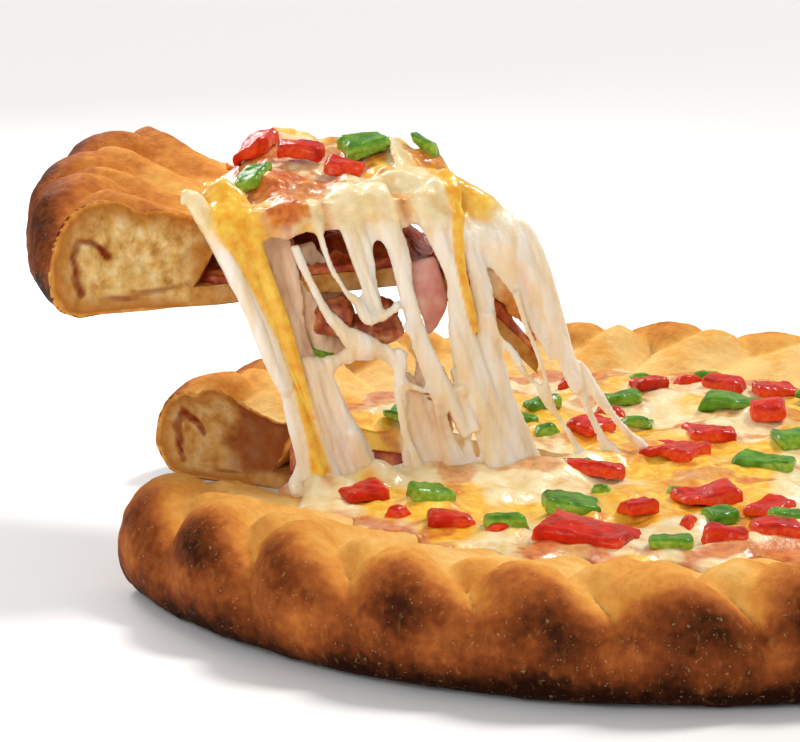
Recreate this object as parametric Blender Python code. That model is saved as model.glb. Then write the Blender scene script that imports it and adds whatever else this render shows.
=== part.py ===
"""Pan pizza with a braided rim and one slice lifted on strands of melted cheese.

Metres, +Z up. The origin is the centre of the pizza's underside, +X is to the right as the
pizza is seen from the front, and +Y points away from the viewer. Azimuths are in degrees,
counted from +X towards +Y. The slice comes out on the left, towards azimuth 185.
"""
import math
import random

import bmesh
import bpy
import numpy as np
from mathutils import Matrix, Vector

# Pizza: a 14 inch pan pizza, whose braided rim stands up round a shallow well
LOBES = 28
LOBE_ZERO = 208.8
STEPS_PER_LOBE = 5
RIM_OUTLINE = ((0.1680, 0.0000), (0.1745, 0.0030), (0.1775, 0.0120), (0.1750, 0.0225),
               (0.1685, 0.0300), (0.1600, 0.0325), (0.1500, 0.0310), (0.1400, 0.0285),
               (0.1290, 0.0262), (0.1200, 0.0240))
RIM_SAMPLES = 13
CREST_AT = 0.52
LOBE_HEIGHT = 0.0080
GROOVE_DEPTH = 0.0018
PINCH_DEPTH = 0.0026
LOBE_SLANT = 1.1
SCALLOP = 0.0045
FLOOR_TOP = 0.0060
WELL_FOOT_RADIUS = 0.1320
CHEESE_BOTTOM = 0.0175
CHEESE_TOP = 0.0262
CHEESE_RELIEF = 0.0013
CHEESE_RADII = (0.022, 0.048, 0.074, 0.098)
GAP = 0.0004
FILLING_CLEARANCE = 0.0034

# Where the slice was cut out, and where it hangs now
SLICE_AZIMUTH = 185.0
SLICE_HALF_ANGLE = 22.5
NOTCH_TIP_RADIUS = 0.012
NOTCH_HALF_ANGLE = 24.2
SLICE_STEPS = 18
SLICE_RADII = (0.012, 0.026, 0.040, 0.055, 0.085)
SLICE_CHEESE_RADII = (0.012, 0.026, 0.040, 0.055, 0.078, 0.100, 0.109)
LIFT = Vector((-0.0190, 0.0, 0.0880))
ROLL = math.radians(3.0)
DROOP_START = 0.058
DROOP = 0.036
DROOP_SHORTENING = 0.22
SLICE_FILLING_TOP = 0.0082
SLICE_CHEESE_BOTTOM = 0.0190
TIP_CHEESE_DROP = 0.0095
CHEESE_LIP_ANGLE = 3.5
PILE = 0.0120
PILE_NEAR_SHARE = 0.35

# Melted cheese strands hang in a curtain over the near cut. Each point of a strand is
# (distance from the pizza's centre along the cut, height, width), in millimetres.
MM = 0.001
STRAND_FLATNESS = 0.32
CURTAIN_FOOT = 0.0045
CURTAIN_LEAN = -0.115
STRAND_SIDES = 6
STRANDS = {
    "yellow": ((138, 112, 12), (131, 102, 14), (125, 84, 10), (116, 55, 7), (112, 40, 9), (109, 25, 14)),
    "companion": ((135, 104, 6), (127, 76, 3), (119, 48, 4), (115, 25, 8)),
    "fibres": ((97, 117, 11), (93, 92, 7), (88, 80, 6), (79, 70, 6), (77, 56, 5), (75, 40, 5), (74, 25, 9)),
    "middle": ((84, 116, 11), (78, 90, 6), (76, 74, 6), (70, 58, 7), (64, 44, 8), (62, 25, 14)),
    "white": ((71, 117, 14), (66, 100, 11), (62, 84, 7), (59, 70, 9), (55, 56, 11), (49, 40, 14), (46, 25, 20)),
    "tip": ((40, 108, 15), (30, 86, 14), (26, 69, 11), (19, 52, 7), (11, 36, 5), (3, 25, 9)),
    "tip_second": ((24, 64, 7), (14, 48, 5), (4, 36, 4), (-7, 26, 6)),
    "thin_near_tip": ((50, 78, 6), (43, 65, 4), (36, 52, 5), (27, 39, 4), (20, 25, 6)),
    "thin_left": ((109, 117, 5), (103, 90, 4), (97, 78, 5), (86, 72, 5)),
    "link": ((80, 61, 5), (70, 58, 5), (58, 55, 6)),
    "broad_sheet": ((112, 66, 9), (107, 48, 13), (101, 25, 22)),
    "sheet_top": ((118, 96, 14), (110, 80, 16), (102, 66, 12), (90, 60, 9), (80, 66, 8)),
    "far_column": ((81, 60, 9), (86, 42, 8), (88, 25, 13)),
}

# Pieces held behind the strands or in the slice's hollow: distance along the cut, height,
# distance behind the pizza's cut, length, width and thickness in millimetres, and the lean
# of the length from level in degrees
HELD_PIECES = {
    "sausage_large": (90, 73.5, 9.2, 16, 12, 8, 20),
    "sausage_middle": (103, 77.5, 9.2, 10, 8, 7, 80),
    "sausage_small": (121, 99, 17, 11, 8, 7, 0),
    "ham_slab": (70.5, 83, 7.2, 24, 9, 2.2, -78),
    "green_pepper_held": (110, 66, 8.6, 15, 8, 5, -25),
    "red_pepper_held": (119, 76, 8.4, 11, 5, 4, 75),
}

# Diced peppers that show on the pizza: x, y, length, width in millimetres and turn in degrees
DICE_THICKNESS = 0.0055
RED_DICE = ((-13, -101, 29, 17, -20), (23, -58, 19, 15, 15), (42, -68, 15, 11, 60), (43, -97, 14, 10, 10),
            (28, -102, 13, 8, -10), (-83, -66, 15, 12, 25), (-54, -91, 14, 9, 8), (2, -76, 11, 9, 30),
            (-12, -29, 20, 8, 0), (13, -5, 20, 17, -25), (25, 20, 17, 13, 10), (46, 49, 12, 12, 0),
            (5, 88, 12, 12, 40), (32, 94, 14, 9, -20), (50, 90, 16, 11, 10), (-14, 26, 15, 12, 50))
GREEN_DICE = ((-19, -74, 18, 13, 5), (26, -80, 12, 9, 30), (48, -82, 13, 7, 5), (12, -109, 13, 8, 0),
              (-62, -70, 13, 11, 20), (-38, -97, 12, 7, 10), (42, -18, 19, 12, -15), (52, 14, 14, 13, 20),
              (34, 64, 21, 13, -10), (-5, 68, 15, 10, 15), (-40, 33, 15, 6, -30), (-32, 52, 13, 8, 40),
              (-82, 40, 15, 8, 70))
HIDDEN_DICE = 10
HIDDEN_DICE_TRIES = 400
HIDDEN_DICE_SPACING = 0.022
HIDDEN_FROM_X = 0.062

# Dice on the lifted slice, at the place on the pizza where the slice came from
SLICE_RED_DICE = ((-108, 12, 17, 11, 75), (-91, -7, 16, 8, -10), (-75, -16, 13, 9, 0))
SLICE_GREEN_DICE = ((-70, -1, 14, 11, 30), (-50, 9, 11, 7, -20), (-16, 3, 12, 8, 60), (-103, -30, 13, 8, 70))

COLOURS = {
    "crust": ((0.52, 0.23, 0.07), 0.55),
    "filling": ((0.34, 0.06, 0.02), 0.45),
    "cheese": ((0.86, 0.68, 0.38), 0.35),
    "sausage": ((0.30, 0.11, 0.05), 0.50),
    "ham": ((0.80, 0.42, 0.36), 0.40),
    "red_pepper": ((0.62, 0.03, 0.01), 0.25),
    "green_pepper": ((0.12, 0.25, 0.03), 0.25),
}


def clear_scene():
    """Remove every object, so that the file can be run again."""
    for item in list(bpy.data.objects):
        bpy.data.objects.remove(item, do_unlink=True)


def new_collection(name):
    """A collection that is linked to the scene."""
    collection = bpy.data.collections.new(name)
    bpy.context.scene.collection.children.link(collection)
    return collection


def material(name):
    """A Principled material with the food's colour and roughness."""
    found = bpy.data.materials.get(name)
    if found:
        return found
    colour, roughness = COLOURS[name]
    made = bpy.data.materials.new(name)
    made.use_nodes = True
    shader = made.node_tree.nodes["Principled BSDF"]
    shader.inputs["Base Color"].default_value = (*colour, 1.0)
    shader.inputs["Roughness"].default_value = roughness
    shader.inputs["Metallic"].default_value = 0.0
    return made


def add_object(name, mesh, collection, food):
    """A smooth-shaded object made of one food."""
    mesh.materials.append(material(food))
    mesh.shade_smooth()
    mesh.set_sharp_from_angle(angle=math.radians(50))
    item = bpy.data.objects.new(name, mesh)
    collection.objects.link(item)
    return item


def evaluated_mesh(item):
    """A new mesh of an object as its modifiers leave it, in world space."""
    graph = bpy.context.evaluated_depsgraph_get()
    graph.update()
    mesh = bpy.data.meshes.new_from_object(item.evaluated_get(graph))
    mesh.transform(item.matrix_world)
    return mesh


def as_cutter(item):
    """Keep an object out of the model: it only cuts others."""
    item.hide_render = True
    item.display_type = "WIRE"


def boolean(item, other, operation, solver="EXACT"):
    """Cut or join one object with another, and apply it."""
    modifier = item.modifiers.new(operation.lower(), "BOOLEAN")
    modifier.operation = operation
    modifier.solver = solver
    modifier.object = other
    mesh = evaluated_mesh(item)
    item.modifiers.clear()
    item.data = mesh


def fattened(item, collection, gap=GAP):
    """A cutter that is a copy of an object, grown by a gap on every side."""
    copy = bpy.data.objects.new(item.name + "_grown", item.data.copy())
    collection.objects.link(copy)
    as_cutter(copy)
    grow = copy.modifiers.new("grow", "DISPLACE")
    grow.mid_level = 0.0
    grow.strength = gap * 1.5
    mesh = evaluated_mesh(copy)
    copy.modifiers.clear()
    copy.data = mesh
    return copy


def keep_largest_body(item):
    """Drop the loose scraps that a cut leaves, and weld what it split."""
    shape = bmesh.new()
    shape.from_mesh(item.data)
    bmesh.ops.remove_doubles(shape, verts=shape.verts, dist=0.00002)
    bmesh.ops.dissolve_degenerate(shape, edges=shape.edges, dist=0.00002)
    left = set(shape.verts)
    bodies = []
    while left:
        body = {left.pop()}
        edge_of_body = list(body)
        while edge_of_body:
            vertex = edge_of_body.pop()
            for edge in vertex.link_edges:
                other = edge.other_vert(vertex)
                if other in left:
                    left.discard(other)
                    body.add(other)
                    edge_of_body.append(other)
        bodies.append(body)
    bodies.sort(key=len)
    for body in bodies[:-1]:
        bmesh.ops.delete(shape, geom=list(body), context="VERTS")
    shape.to_mesh(item.data)
    shape.free()


def lobe_count(azimuth):
    """How many lobes of the braid lie between LOBE_ZERO and an azimuth.

    The lobes are evenly spaced, but drift by 0.4 of a lobe at the far side.
    """
    drift = -0.4 * np.exp(-(((azimuth % 360) - 93.0) / 30.0) ** 2)
    return (azimuth - LOBE_ZERO) * LOBES / 360.0 + drift


def well_radius(azimuth):
    """The dough's scalloped inner edge, where it meets the cheese."""
    return RIM_OUTLINE[-1][0] + SCALLOP * np.cos(2 * np.pi * (lobe_count(azimuth) + 0.35))


def rim_outline(samples):
    """Points along the rim's outline: a smooth curve through RIM_OUTLINE."""
    knots = np.array(RIM_OUTLINE)
    before = 2 * knots[0] - knots[1]
    after = 2 * knots[-1] - knots[-2]
    knots = np.vstack([before, knots, after])
    spans = len(knots) - 3
    place = np.linspace(0, spans, samples)
    index = np.minimum(place.astype(int), spans - 1)
    t = (place - index)[:, None]
    p0, p1, p2, p3 = (knots[index + k] for k in range(4))
    return 0.5 * (2 * p1 + (p2 - p0) * t + (2 * p0 - 5 * p1 + 4 * p2 - p3) * t ** 2
                  + (3 * p1 - p0 - 3 * p2 + p3) * t ** 3)


def braid_relief(azimuth, along):
    """How far the dough stands out, for a place along the outline from 0 (base) to 1 (well).

    Outer and inner lobes lean opposite ways and are half a lobe apart. A groove runs
    zigzag between them, and pinches the dough where two outer lobes meet. The lower part
    of the outer wall is smooth.
    """
    count = lobe_count(azimuth)
    outer = (count + LOBE_SLANT * (along - CREST_AT)) % 1.0
    inner = (count + 0.5 - LOBE_SLANT * (along - CREST_AT)) % 1.0
    outer_lobe = 1 - np.abs(2 * ((outer + 0.5) % 1.0) - 1) ** 2
    inner_lobe = 1 - np.abs(2 * ((inner + 0.5) % 1.0) - 1) ** 2
    zigzag = CREST_AT + 0.09 + 0.10 * np.cos(2 * np.pi * count)
    side = 1 / (1 + np.exp(-(along - zigzag) / 0.03))
    lobe = outer_lobe * (1 - side) + inner_lobe * side
    fade = np.clip((along - 0.10) / 0.32, 0, 1) ** 1.5 * (1 - 0.75 * np.clip((along - 0.70) / 0.25, 0, 1))
    pinch = np.exp(-((along - 0.46) / 0.10) ** 2) * (1 - outer_lobe) ** 3
    groove = np.exp(-((along - zigzag) / 0.045) ** 2)
    size = 1 + 0.25 * np.sin(1.9 * count + 1.0)
    return fade * (LOBE_HEIGHT * size * (lobe - 0.55) - GROOVE_DEPTH * groove) - PINCH_DEPTH * pinch


def crust_section(azimuth, radii):
    """The crust cut at one azimuth, as (radius, height) points from the axis and back.

    They run along the underside, up and over the rim, down the undercut wall of the
    well and back over its floor.
    """
    outline = rim_outline(RIM_SAMPLES)
    along = np.linspace(0, 1, RIM_SAMPLES)
    tangent = np.gradient(outline, axis=0)
    normal = np.stack([tangent[:, 1], -tangent[:, 0]], axis=1)
    normal /= np.linalg.norm(normal, axis=1)[:, None]
    raised = outline + normal * braid_relief(azimuth, along)[:, None]
    inner = well_radius(azimuth)
    reach = np.clip((along - 0.72) / 0.28, 0, 1) ** 2
    raised[:, 0] += reach * (inner - raised[-1, 0])
    underside = [(r, 0.0) for r in (0.0, *radii)]
    wall = [(inner, CHEESE_BOTTOM), (WELL_FOOT_RADIUS, FLOOR_TOP)]
    floor = [(r, FLOOR_TOP) for r in (*reversed(radii), 0.0)]
    return underside + [tuple(p) for p in raised] + wall + floor


def cheese_height(radius, azimuth):
    """The cheese's upper surface: a few shallow waves on a level sheet."""
    x = radius * np.cos(np.radians(azimuth))
    y = radius * np.sin(np.radians(azimuth))
    waves = np.sin(92 * x + 1.3) * np.cos(81 * y - 0.4) + 0.7 * np.sin(150 * x - 118 * y + 2.0)
    return CHEESE_TOP + CHEESE_RELIEF * waves * np.clip((0.118 - radius) / 0.02, 0, 1)


def level_bottom(radius, azimuth):
    """The underside of the cheese on the pizza that stays down."""
    return CHEESE_BOTTOM


def disc_section(azimuth, radii, bottom, top):
    """A layer cut at one azimuth, between bottom(radius, azimuth) and top(radius, azimuth)."""
    rim = well_radius(azimuth) - GAP
    under = [(r, float(bottom(r, azimuth))) for r in (0.0, *radii, rim)]
    over = [(r, float(top(r, azimuth))) for r in (rim, *reversed(radii), 0.0)]
    return under + over


def filling_section(azimuth, radii, top):
    """The filling under the cheese, out to the undercut wall of the well."""
    slope = (WELL_FOOT_RADIUS - well_radius(azimuth)) / (CHEESE_BOTTOM - FLOOR_TOP)
    wall = WELL_FOOT_RADIUS - slope * (top - FLOOR_TOP) - FILLING_CLEARANCE
    foot = WELL_FOOT_RADIUS - FILLING_CLEARANCE
    lower = FLOOR_TOP + GAP
    under = [(r, lower) for r in (0.0, *radii, foot)]
    over = [(r, top) for r in (wall, *reversed(radii), 0.0)]
    return under + over


def turned_mesh(name, sections, azimuths, closed):
    """Loft unlike sections round the axis: all the way, or as a wedge with two cut faces."""
    shape = bmesh.new()
    columns = []
    for section, azimuth in zip(sections, azimuths):
        c = math.cos(math.radians(azimuth))
        s = math.sin(math.radians(azimuth))
        columns.append([shape.verts.new((r * c, r * s, z)) for r, z in section])
    count = len(columns)
    for i in range(count if closed else count - 1):
        here = columns[i]
        after = columns[(i + 1) % count]
        for a, b, c, d in zip(here, after, after[1:], here[1:]):
            shape.faces.new((a, b, c, d))
    if not closed:
        shape.faces.new(columns[0])
        shape.faces.new(reversed(columns[-1]))
    bmesh.ops.remove_doubles(shape, verts=shape.verts, dist=0.00001)
    bmesh.ops.recalc_face_normals(shape, faces=shape.faces)
    mesh = bpy.data.meshes.new(name)
    shape.to_mesh(mesh)
    shape.free()
    return mesh


def notch_cutter(collection):
    """The wedge that the slice came out of, as a tall prism."""
    far = 0.30
    tip = Vector((-NOTCH_TIP_RADIUS, 0, 0))
    left = tip + far * Vector((-math.cos(math.radians(NOTCH_HALF_ANGLE)),
                               math.sin(math.radians(NOTCH_HALF_ANGLE)), 0))
    right = Vector((left.x, -left.y, 0))
    shape = bmesh.new()
    base = shape.faces.new([shape.verts.new(p) for p in (tip, left, right)])
    raised = bmesh.ops.extrude_face_region(shape, geom=[base])["geom"]
    bmesh.ops.translate(shape, vec=(0, 0, 0.10), verts=[v for v in raised if isinstance(v, bmesh.types.BMVert)])
    turn = Matrix.Rotation(math.radians(SLICE_AZIMUTH - 180), 4, "Z")
    bmesh.ops.transform(shape, matrix=Matrix.Translation((0, 0, -0.03)) @ turn, verts=shape.verts)
    bmesh.ops.recalc_face_normals(shape, faces=shape.faces)
    mesh = bpy.data.meshes.new("notch_cutter")
    shape.to_mesh(mesh)
    shape.free()
    item = bpy.data.objects.new("notch_cutter", mesh)
    collection.objects.link(item)
    as_cutter(item)
    return item


def lifted(point):
    """Move a point of the uncut pizza to where the lifted slice holds it.

    The slice is raised and moved outward, rolled a little towards the viewer about its
    own middle line, and its last DROOP_START metres towards the tip bend down:
    drop = DROOP * (depth / DROOP_START) ** 1.5.
    """
    turn = math.radians(SLICE_AZIMUTH)
    outward = Vector((math.cos(turn), math.sin(turn), 0))
    across = Vector((-math.sin(turn), math.cos(turn), 0))
    reach = point.dot(outward)
    side = point.dot(across)
    depth = max(0.0, DROOP_START - reach)
    drop = DROOP * (depth / DROOP_START) ** 1.5
    reach += DROOP_SHORTENING * depth
    height = point.z - drop - math.sin(ROLL) * side
    return outward * reach + across * side + Vector((0, 0, height)) + LIFT


def lift_mesh(mesh):
    """Carry every vertex of a slice's mesh to the lifted place."""
    for vertex in mesh.vertices:
        vertex.co = lifted(vertex.co)


def by_the_cut(along, height, forward):
    """A place given by its distance along the pizza's near cut, height and distance forward."""
    turn = math.radians(SLICE_AZIMUTH + SLICE_HALF_ANGLE)
    outward = Vector((math.cos(turn), math.sin(turn), 0))
    nearer = Vector((-outward.y, outward.x, 0))
    return outward * along + nearer * forward + Vector((0, 0, height))


def curtain_point(along, height, depth):
    """A place in the curtain of strands, which leans from the pizza's cut to the slice's."""
    lean = CURTAIN_FOOT + CURTAIN_LEAN * (height - CHEESE_TOP)
    return by_the_cut(along, height, lean + depth)


def strand_mesh(name, points):
    """One strand: a tapered tube along its points, pressed flat in the curtain."""
    curve = bpy.data.curves.new(name, "CURVE")
    curve.dimensions = "3D"
    curve.bevel_depth = 1.0
    curve.bevel_resolution = (STRAND_SIDES - 4) // 2
    curve.use_fill_caps = True
    curve.resolution_u = 2
    spline = curve.splines.new("POLY")
    spline.points.add(len(points) - 1)
    for knot, (along, height, width) in zip(spline.points, points):
        knot.co = (along * MM, height * MM, 0, 1)
        knot.radius = width * MM / 2
    holder = bpy.data.objects.new(name, curve)
    bpy.context.scene.collection.objects.link(holder)
    mesh = evaluated_mesh(holder)
    bpy.data.objects.remove(holder, do_unlink=True)
    shape = bmesh.new()
    shape.from_mesh(mesh)
    bmesh.ops.remove_doubles(shape, verts=shape.verts, dist=0.00001)
    for vertex in shape.verts:
        vertex.co = curtain_point(vertex.co.x, vertex.co.y, vertex.co.z * STRAND_FLATNESS)
    bmesh.ops.recalc_face_normals(shape, faces=shape.faces)
    shape.to_mesh(mesh)
    shape.free()
    return mesh


def rounded_block(name, size, collection, food, bevel=0.22):
    """A block with bevelled edges, centred on the origin."""
    shape = bmesh.new()
    bmesh.ops.create_cube(shape, size=1.0)
    bmesh.ops.scale(shape, vec=size, verts=shape.verts)
    bmesh.ops.bevel(shape, geom=shape.edges, offset=bevel * min(size), segments=1, affect="EDGES")
    mesh = bpy.data.meshes.new(name)
    shape.to_mesh(mesh)
    shape.free()
    return add_object(name, mesh, collection, food)


def place(item, matrix):
    """Put an object's mesh where it lies."""
    item.data.transform(matrix)
    item.data.update()


def make_pizza(food, cutters):
    """Crust, filling and cheese of the seven eighths that stay down."""
    steps = LOBES * STEPS_PER_LOBE
    azimuths = [LOBE_ZERO + 360.0 * i / steps for i in range(steps)]
    notch = notch_cutter(cutters)
    layers = {
        "pizza_crust": ("crust", [crust_section(a, ()) for a in azimuths]),
        "pizza_filling": ("filling", [filling_section(a, (), CHEESE_BOTTOM - GAP) for a in azimuths]),
        "pizza_cheese": ("cheese", [disc_section(a, CHEESE_RADII, level_bottom, cheese_height)
                                    for a in azimuths]),
    }
    made = {}
    for name, (stuff, sections) in layers.items():
        item = add_object(name, turned_mesh(name, sections, azimuths, True), food, stuff)
        boolean(item, notch, "DIFFERENCE")
        keep_largest_body(item)
        made[name] = item
    return made


def smooth(t):
    """0 below 0, 1 above 1, and 3t^2 - 2t^3 between."""
    t = np.clip(t, 0, 1)
    return t * t * (3 - 2 * t)


def pile(radius, azimuth):
    """How far the slice's cheese is piled up: most along the middle of its far side.

    It starts near the tip, ends at the dough, and is lower at the near cut.
    """
    turn = np.radians(azimuth - SLICE_AZIMUTH)
    reach = radius * np.cos(turn)
    side = radius * np.sin(turn)
    half_width = np.maximum(0.41 * reach, 0.006)
    across = PILE_NEAR_SHARE + (1 - PILE_NEAR_SHARE) * smooth(0.6 * (half_width - side) / half_width)
    return PILE * across * smooth((reach - 0.005) / 0.045) * (1 - smooth((reach - 0.100) / 0.018))


def slice_cheese_bottom(radius, azimuth):
    """The underside of the slice's cheese, which sinks to the filling at the tip."""
    near_tip = max(0.0, 1 - radius / 0.040)
    return SLICE_CHEESE_BOTTOM - TIP_CHEESE_DROP * near_tip + 0.75 * pile(radius, azimuth)


def slice_cheese_height(radius, azimuth):
    """The upper surface of the slice's cheese."""
    return cheese_height(radius, azimuth) + pile(radius, azimuth)


def make_slice(food):
    """Crust, filling and cheese of the slice, lifted. The hollow between stays open."""
    low = SLICE_AZIMUTH - SLICE_HALF_ANGLE
    azimuths = [low + 2 * SLICE_HALF_ANGLE * i / SLICE_STEPS for i in range(SLICE_STEPS + 1)]
    lip = [*azimuths, azimuths[-1] + CHEESE_LIP_ANGLE]
    layers = {
        "slice_crust": ("crust", azimuths, lambda a: crust_section(a, SLICE_RADII)),
        "slice_filling": ("filling", azimuths, lambda a: filling_section(a, SLICE_RADII, SLICE_FILLING_TOP)),
        "slice_cheese": ("cheese", lip,
                         lambda a: disc_section(a, SLICE_CHEESE_RADII, slice_cheese_bottom, slice_cheese_height)),
    }
    made = {}
    for name, (stuff, where, section) in layers.items():
        mesh = turned_mesh(name, [section(a) for a in where], where, False)
        lift_mesh(mesh)
        made[name] = add_object(name, mesh, food, stuff)
    return made


def hang_strands(slice_cheese, pizza, cutters):
    """Join every strand to the slice's cheese, and end them just above the pizza's."""
    strands = new_collection("strands")
    for name, points in STRANDS.items():
        strands.objects.link(bpy.data.objects.new(name, strand_mesh(name, points)))
    join = slice_cheese.modifiers.new("union", "BOOLEAN")
    join.operation = "UNION"
    join.solver = "MANIFOLD"
    join.operand_type = "COLLECTION"
    join.collection = strands
    mesh = evaluated_mesh(slice_cheese)
    slice_cheese.modifiers.clear()
    slice_cheese.data = mesh
    for strand in list(strands.objects):
        bpy.data.objects.remove(strand, do_unlink=True)
    bpy.data.collections.remove(strands)
    for name in ("pizza_cheese", "pizza_crust"):
        boolean(slice_cheese, fattened(pizza[name], cutters), "DIFFERENCE", "MANIFOLD")
    keep_largest_body(slice_cheese)


def make_held_pieces(food):
    """Sausage, ham and pepper that hang behind the strands."""
    foods = {"sausage": "sausage", "ham": "ham", "green": "green_pepper", "red": "red_pepper"}
    turn = math.radians(SLICE_AZIMUTH + SLICE_HALF_ANGLE)
    for name, (along, height, behind, length, width, thickness, lean) in HELD_PIECES.items():
        stuff = foods[name.split("_")[0]]
        size = (length * MM, thickness * MM, width * MM)
        item = rounded_block(name, size, food, stuff, bevel=0.3)
        spot = by_the_cut(along * MM, height * MM, -behind * MM)
        place(item, Matrix.Translation(spot) @ Matrix.Rotation(turn, 4, "Z")
              @ Matrix.Rotation(math.radians(lean), 4, "Y"))


def hidden_dice(taken):
    """Where dice lie on the side that isn't seen: a seeded scatter that keeps its distance."""
    draw = random.Random(14)
    spots = []
    for _ in range(HIDDEN_DICE_TRIES):
        x = draw.uniform(HIDDEN_FROM_X, 0.108)
        y = draw.uniform(-0.10, 0.10)
        near = min(math.hypot(x - u, y - v) for u, v in taken + spots)
        if len(spots) < HIDDEN_DICE and math.hypot(x, y) < 0.108 and near > HIDDEN_DICE_SPACING:
            spots.append((x, y))
    return [(x / MM, y / MM, draw.uniform(13, 19), draw.uniform(10, 14), draw.uniform(0, 180))
            for x, y in spots]


def make_dice(food, cutter, rows, stuff, start, on_slice):
    """Pepper dice sunk a little in the cheese: each is cut to the surface it lies on."""
    for number, (x, y, length, width, turn) in enumerate(rows, start):
        prefix = "slice_" if on_slice else ""
        name = f"{prefix}{stuff}_{number:02d}"
        item = rounded_block(name, (length * MM, width * MM, DICE_THICKNESS), food, stuff)
        spot = Vector((x * MM, y * MM, 0))
        azimuth = math.degrees(math.atan2(y, x))
        spot.z = float(cheese_height(spot.length, azimuth)) + 0.36 * DICE_THICKNESS
        tilt = 5 if number % 2 else -5
        place(item, Matrix.Translation(spot) @ Matrix.Rotation(math.radians(turn), 4, "Z")
              @ Matrix.Rotation(math.radians(tilt), 4, "Y"))
        if on_slice:
            for vertex in item.data.vertices:
                spot = vertex.co
                azimuth = math.degrees(math.atan2(spot.y, spot.x)) % 360
                spot.z += float(pile(math.hypot(spot.x, spot.y), azimuth))
            lift_mesh(item.data)
        boolean(item, cutter, "DIFFERENCE")
        keep_largest_body(item)


def build():
    """The whole pizza."""
    clear_scene()
    food = new_collection("pan_pizza")
    cutters = new_collection("cutters")
    pizza = make_pizza(food, cutters)
    sliced = make_slice(food)
    hang_strands(sliced["slice_cheese"], pizza, cutters)
    make_held_pieces(food)
    table = fattened(pizza["pizza_cheese"], cutters)
    top = fattened(sliced["slice_cheese"], cutters)
    shown = [(x * MM, y * MM) for x, y, *_ in RED_DICE + GREEN_DICE]
    unseen = hidden_dice(shown)
    half = len(unseen) // 2
    make_dice(food, table, list(RED_DICE) + unseen[:half], "red_pepper", 1, False)
    make_dice(food, table, list(GREEN_DICE) + unseen[half:], "green_pepper", 1, False)
    make_dice(food, top, SLICE_RED_DICE, "red_pepper", 1, True)
    make_dice(food, top, SLICE_GREEN_DICE, "green_pepper", 1, True)


build()
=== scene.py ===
import math

import bmesh
import bpy
import numpy as np
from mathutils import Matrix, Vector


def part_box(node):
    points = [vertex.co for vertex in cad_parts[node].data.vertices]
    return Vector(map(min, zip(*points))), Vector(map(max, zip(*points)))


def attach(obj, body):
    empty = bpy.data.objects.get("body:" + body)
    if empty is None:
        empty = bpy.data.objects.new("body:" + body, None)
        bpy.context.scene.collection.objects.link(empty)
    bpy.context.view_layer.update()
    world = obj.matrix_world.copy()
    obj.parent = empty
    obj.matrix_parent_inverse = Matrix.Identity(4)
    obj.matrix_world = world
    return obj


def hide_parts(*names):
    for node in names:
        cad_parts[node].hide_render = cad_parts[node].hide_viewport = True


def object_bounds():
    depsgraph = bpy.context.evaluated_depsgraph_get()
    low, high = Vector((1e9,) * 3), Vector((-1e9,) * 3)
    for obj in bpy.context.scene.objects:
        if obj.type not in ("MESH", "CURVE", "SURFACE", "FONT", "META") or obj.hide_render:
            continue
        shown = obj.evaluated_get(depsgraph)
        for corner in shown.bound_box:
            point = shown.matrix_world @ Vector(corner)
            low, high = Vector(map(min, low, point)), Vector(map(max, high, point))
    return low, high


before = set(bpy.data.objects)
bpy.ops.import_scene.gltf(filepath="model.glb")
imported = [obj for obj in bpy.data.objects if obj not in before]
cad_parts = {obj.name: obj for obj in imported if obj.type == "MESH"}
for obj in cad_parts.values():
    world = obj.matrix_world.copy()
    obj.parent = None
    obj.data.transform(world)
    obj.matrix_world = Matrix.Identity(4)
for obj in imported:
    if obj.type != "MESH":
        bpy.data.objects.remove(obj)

cad_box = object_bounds()

# The pizza, as the CAD draws it: metres, azimuths in degrees
LOBES = 28
LOBE_ZERO = 208.8
RIM_OUTLINE = ((0.1680, 0.0000), (0.1745, 0.0030), (0.1775, 0.0120), (0.1750, 0.0225),
               (0.1685, 0.0300), (0.1600, 0.0325), (0.1500, 0.0310), (0.1400, 0.0285),
               (0.1290, 0.0262), (0.1200, 0.0240))
CREST_AT = 0.52
LOBE_HEIGHT = 0.0080
GROOVE_DEPTH = 0.0018
PINCH_DEPTH = 0.0026
LOBE_SLANT = 1.1
SCALLOP = 0.0045
FLOOR_TOP = 0.0060
WELL_FOOT_RADIUS = 0.1320
ROLL_MIDDLE = (0.150, 0.016)
CHEESE_BOTTOM = 0.0175
CHEESE_TOP = 0.0262
CHEESE_RELIEF = 0.0013

# The notch and the lifted slice
SLICE_AZIMUTH = 185.0
SLICE_HALF_ANGLE = 22.5
NOTCH_TIP_RADIUS = 0.012
NOTCH_HALF_ANGLE = 24.2
LIFT = np.array([-0.0190, 0.0, 0.0880])
ROLL = math.radians(3.0)
DROOP_START = 0.058
DROOP = 0.036
DROOP_SHORTENING = 0.22
SLICE_FILLING_TOP = 0.0082
SLICE_CHEESE_BOTTOM = 0.0190
TIP_CHEESE_DROP = 0.0095
CHEESE_LIP_ANGLE = 4.0
PILE = 0.0120
PILE_NEAR_SHARE = 0.35
MM = 0.001
CURTAIN_FOOT = 0.0045
CURTAIN_LEAN = -0.115

# Which part of the dough a row of its loft is on, where it isn't a place along the rim
UNDERSIDE = -1.0
INNER_WALL = -2.0
DOUGH_FLOOR = -3.0
CUT_FACE = -4.0

# Sizes of the small squares that melted, cut and cooked things are made of
CHEESE_VOXEL = 0.0008
PEPPER_VOXEL = 0.0005
MEAT_VOXEL = 0.0006
THINNEST_STRAND = 0.0019
THINNEST_SHADE = 0.0016
DICE_GRID = 7

# The camera stands where the photograph's stood, looking slightly down and to the left
CAMERA_PLACE = (0.0, -0.836, 0.246)
CAMERA_DOWN = 13.0
CAMERA_LEFT = 5.3
CAMERA_LENS = 117.0

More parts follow.
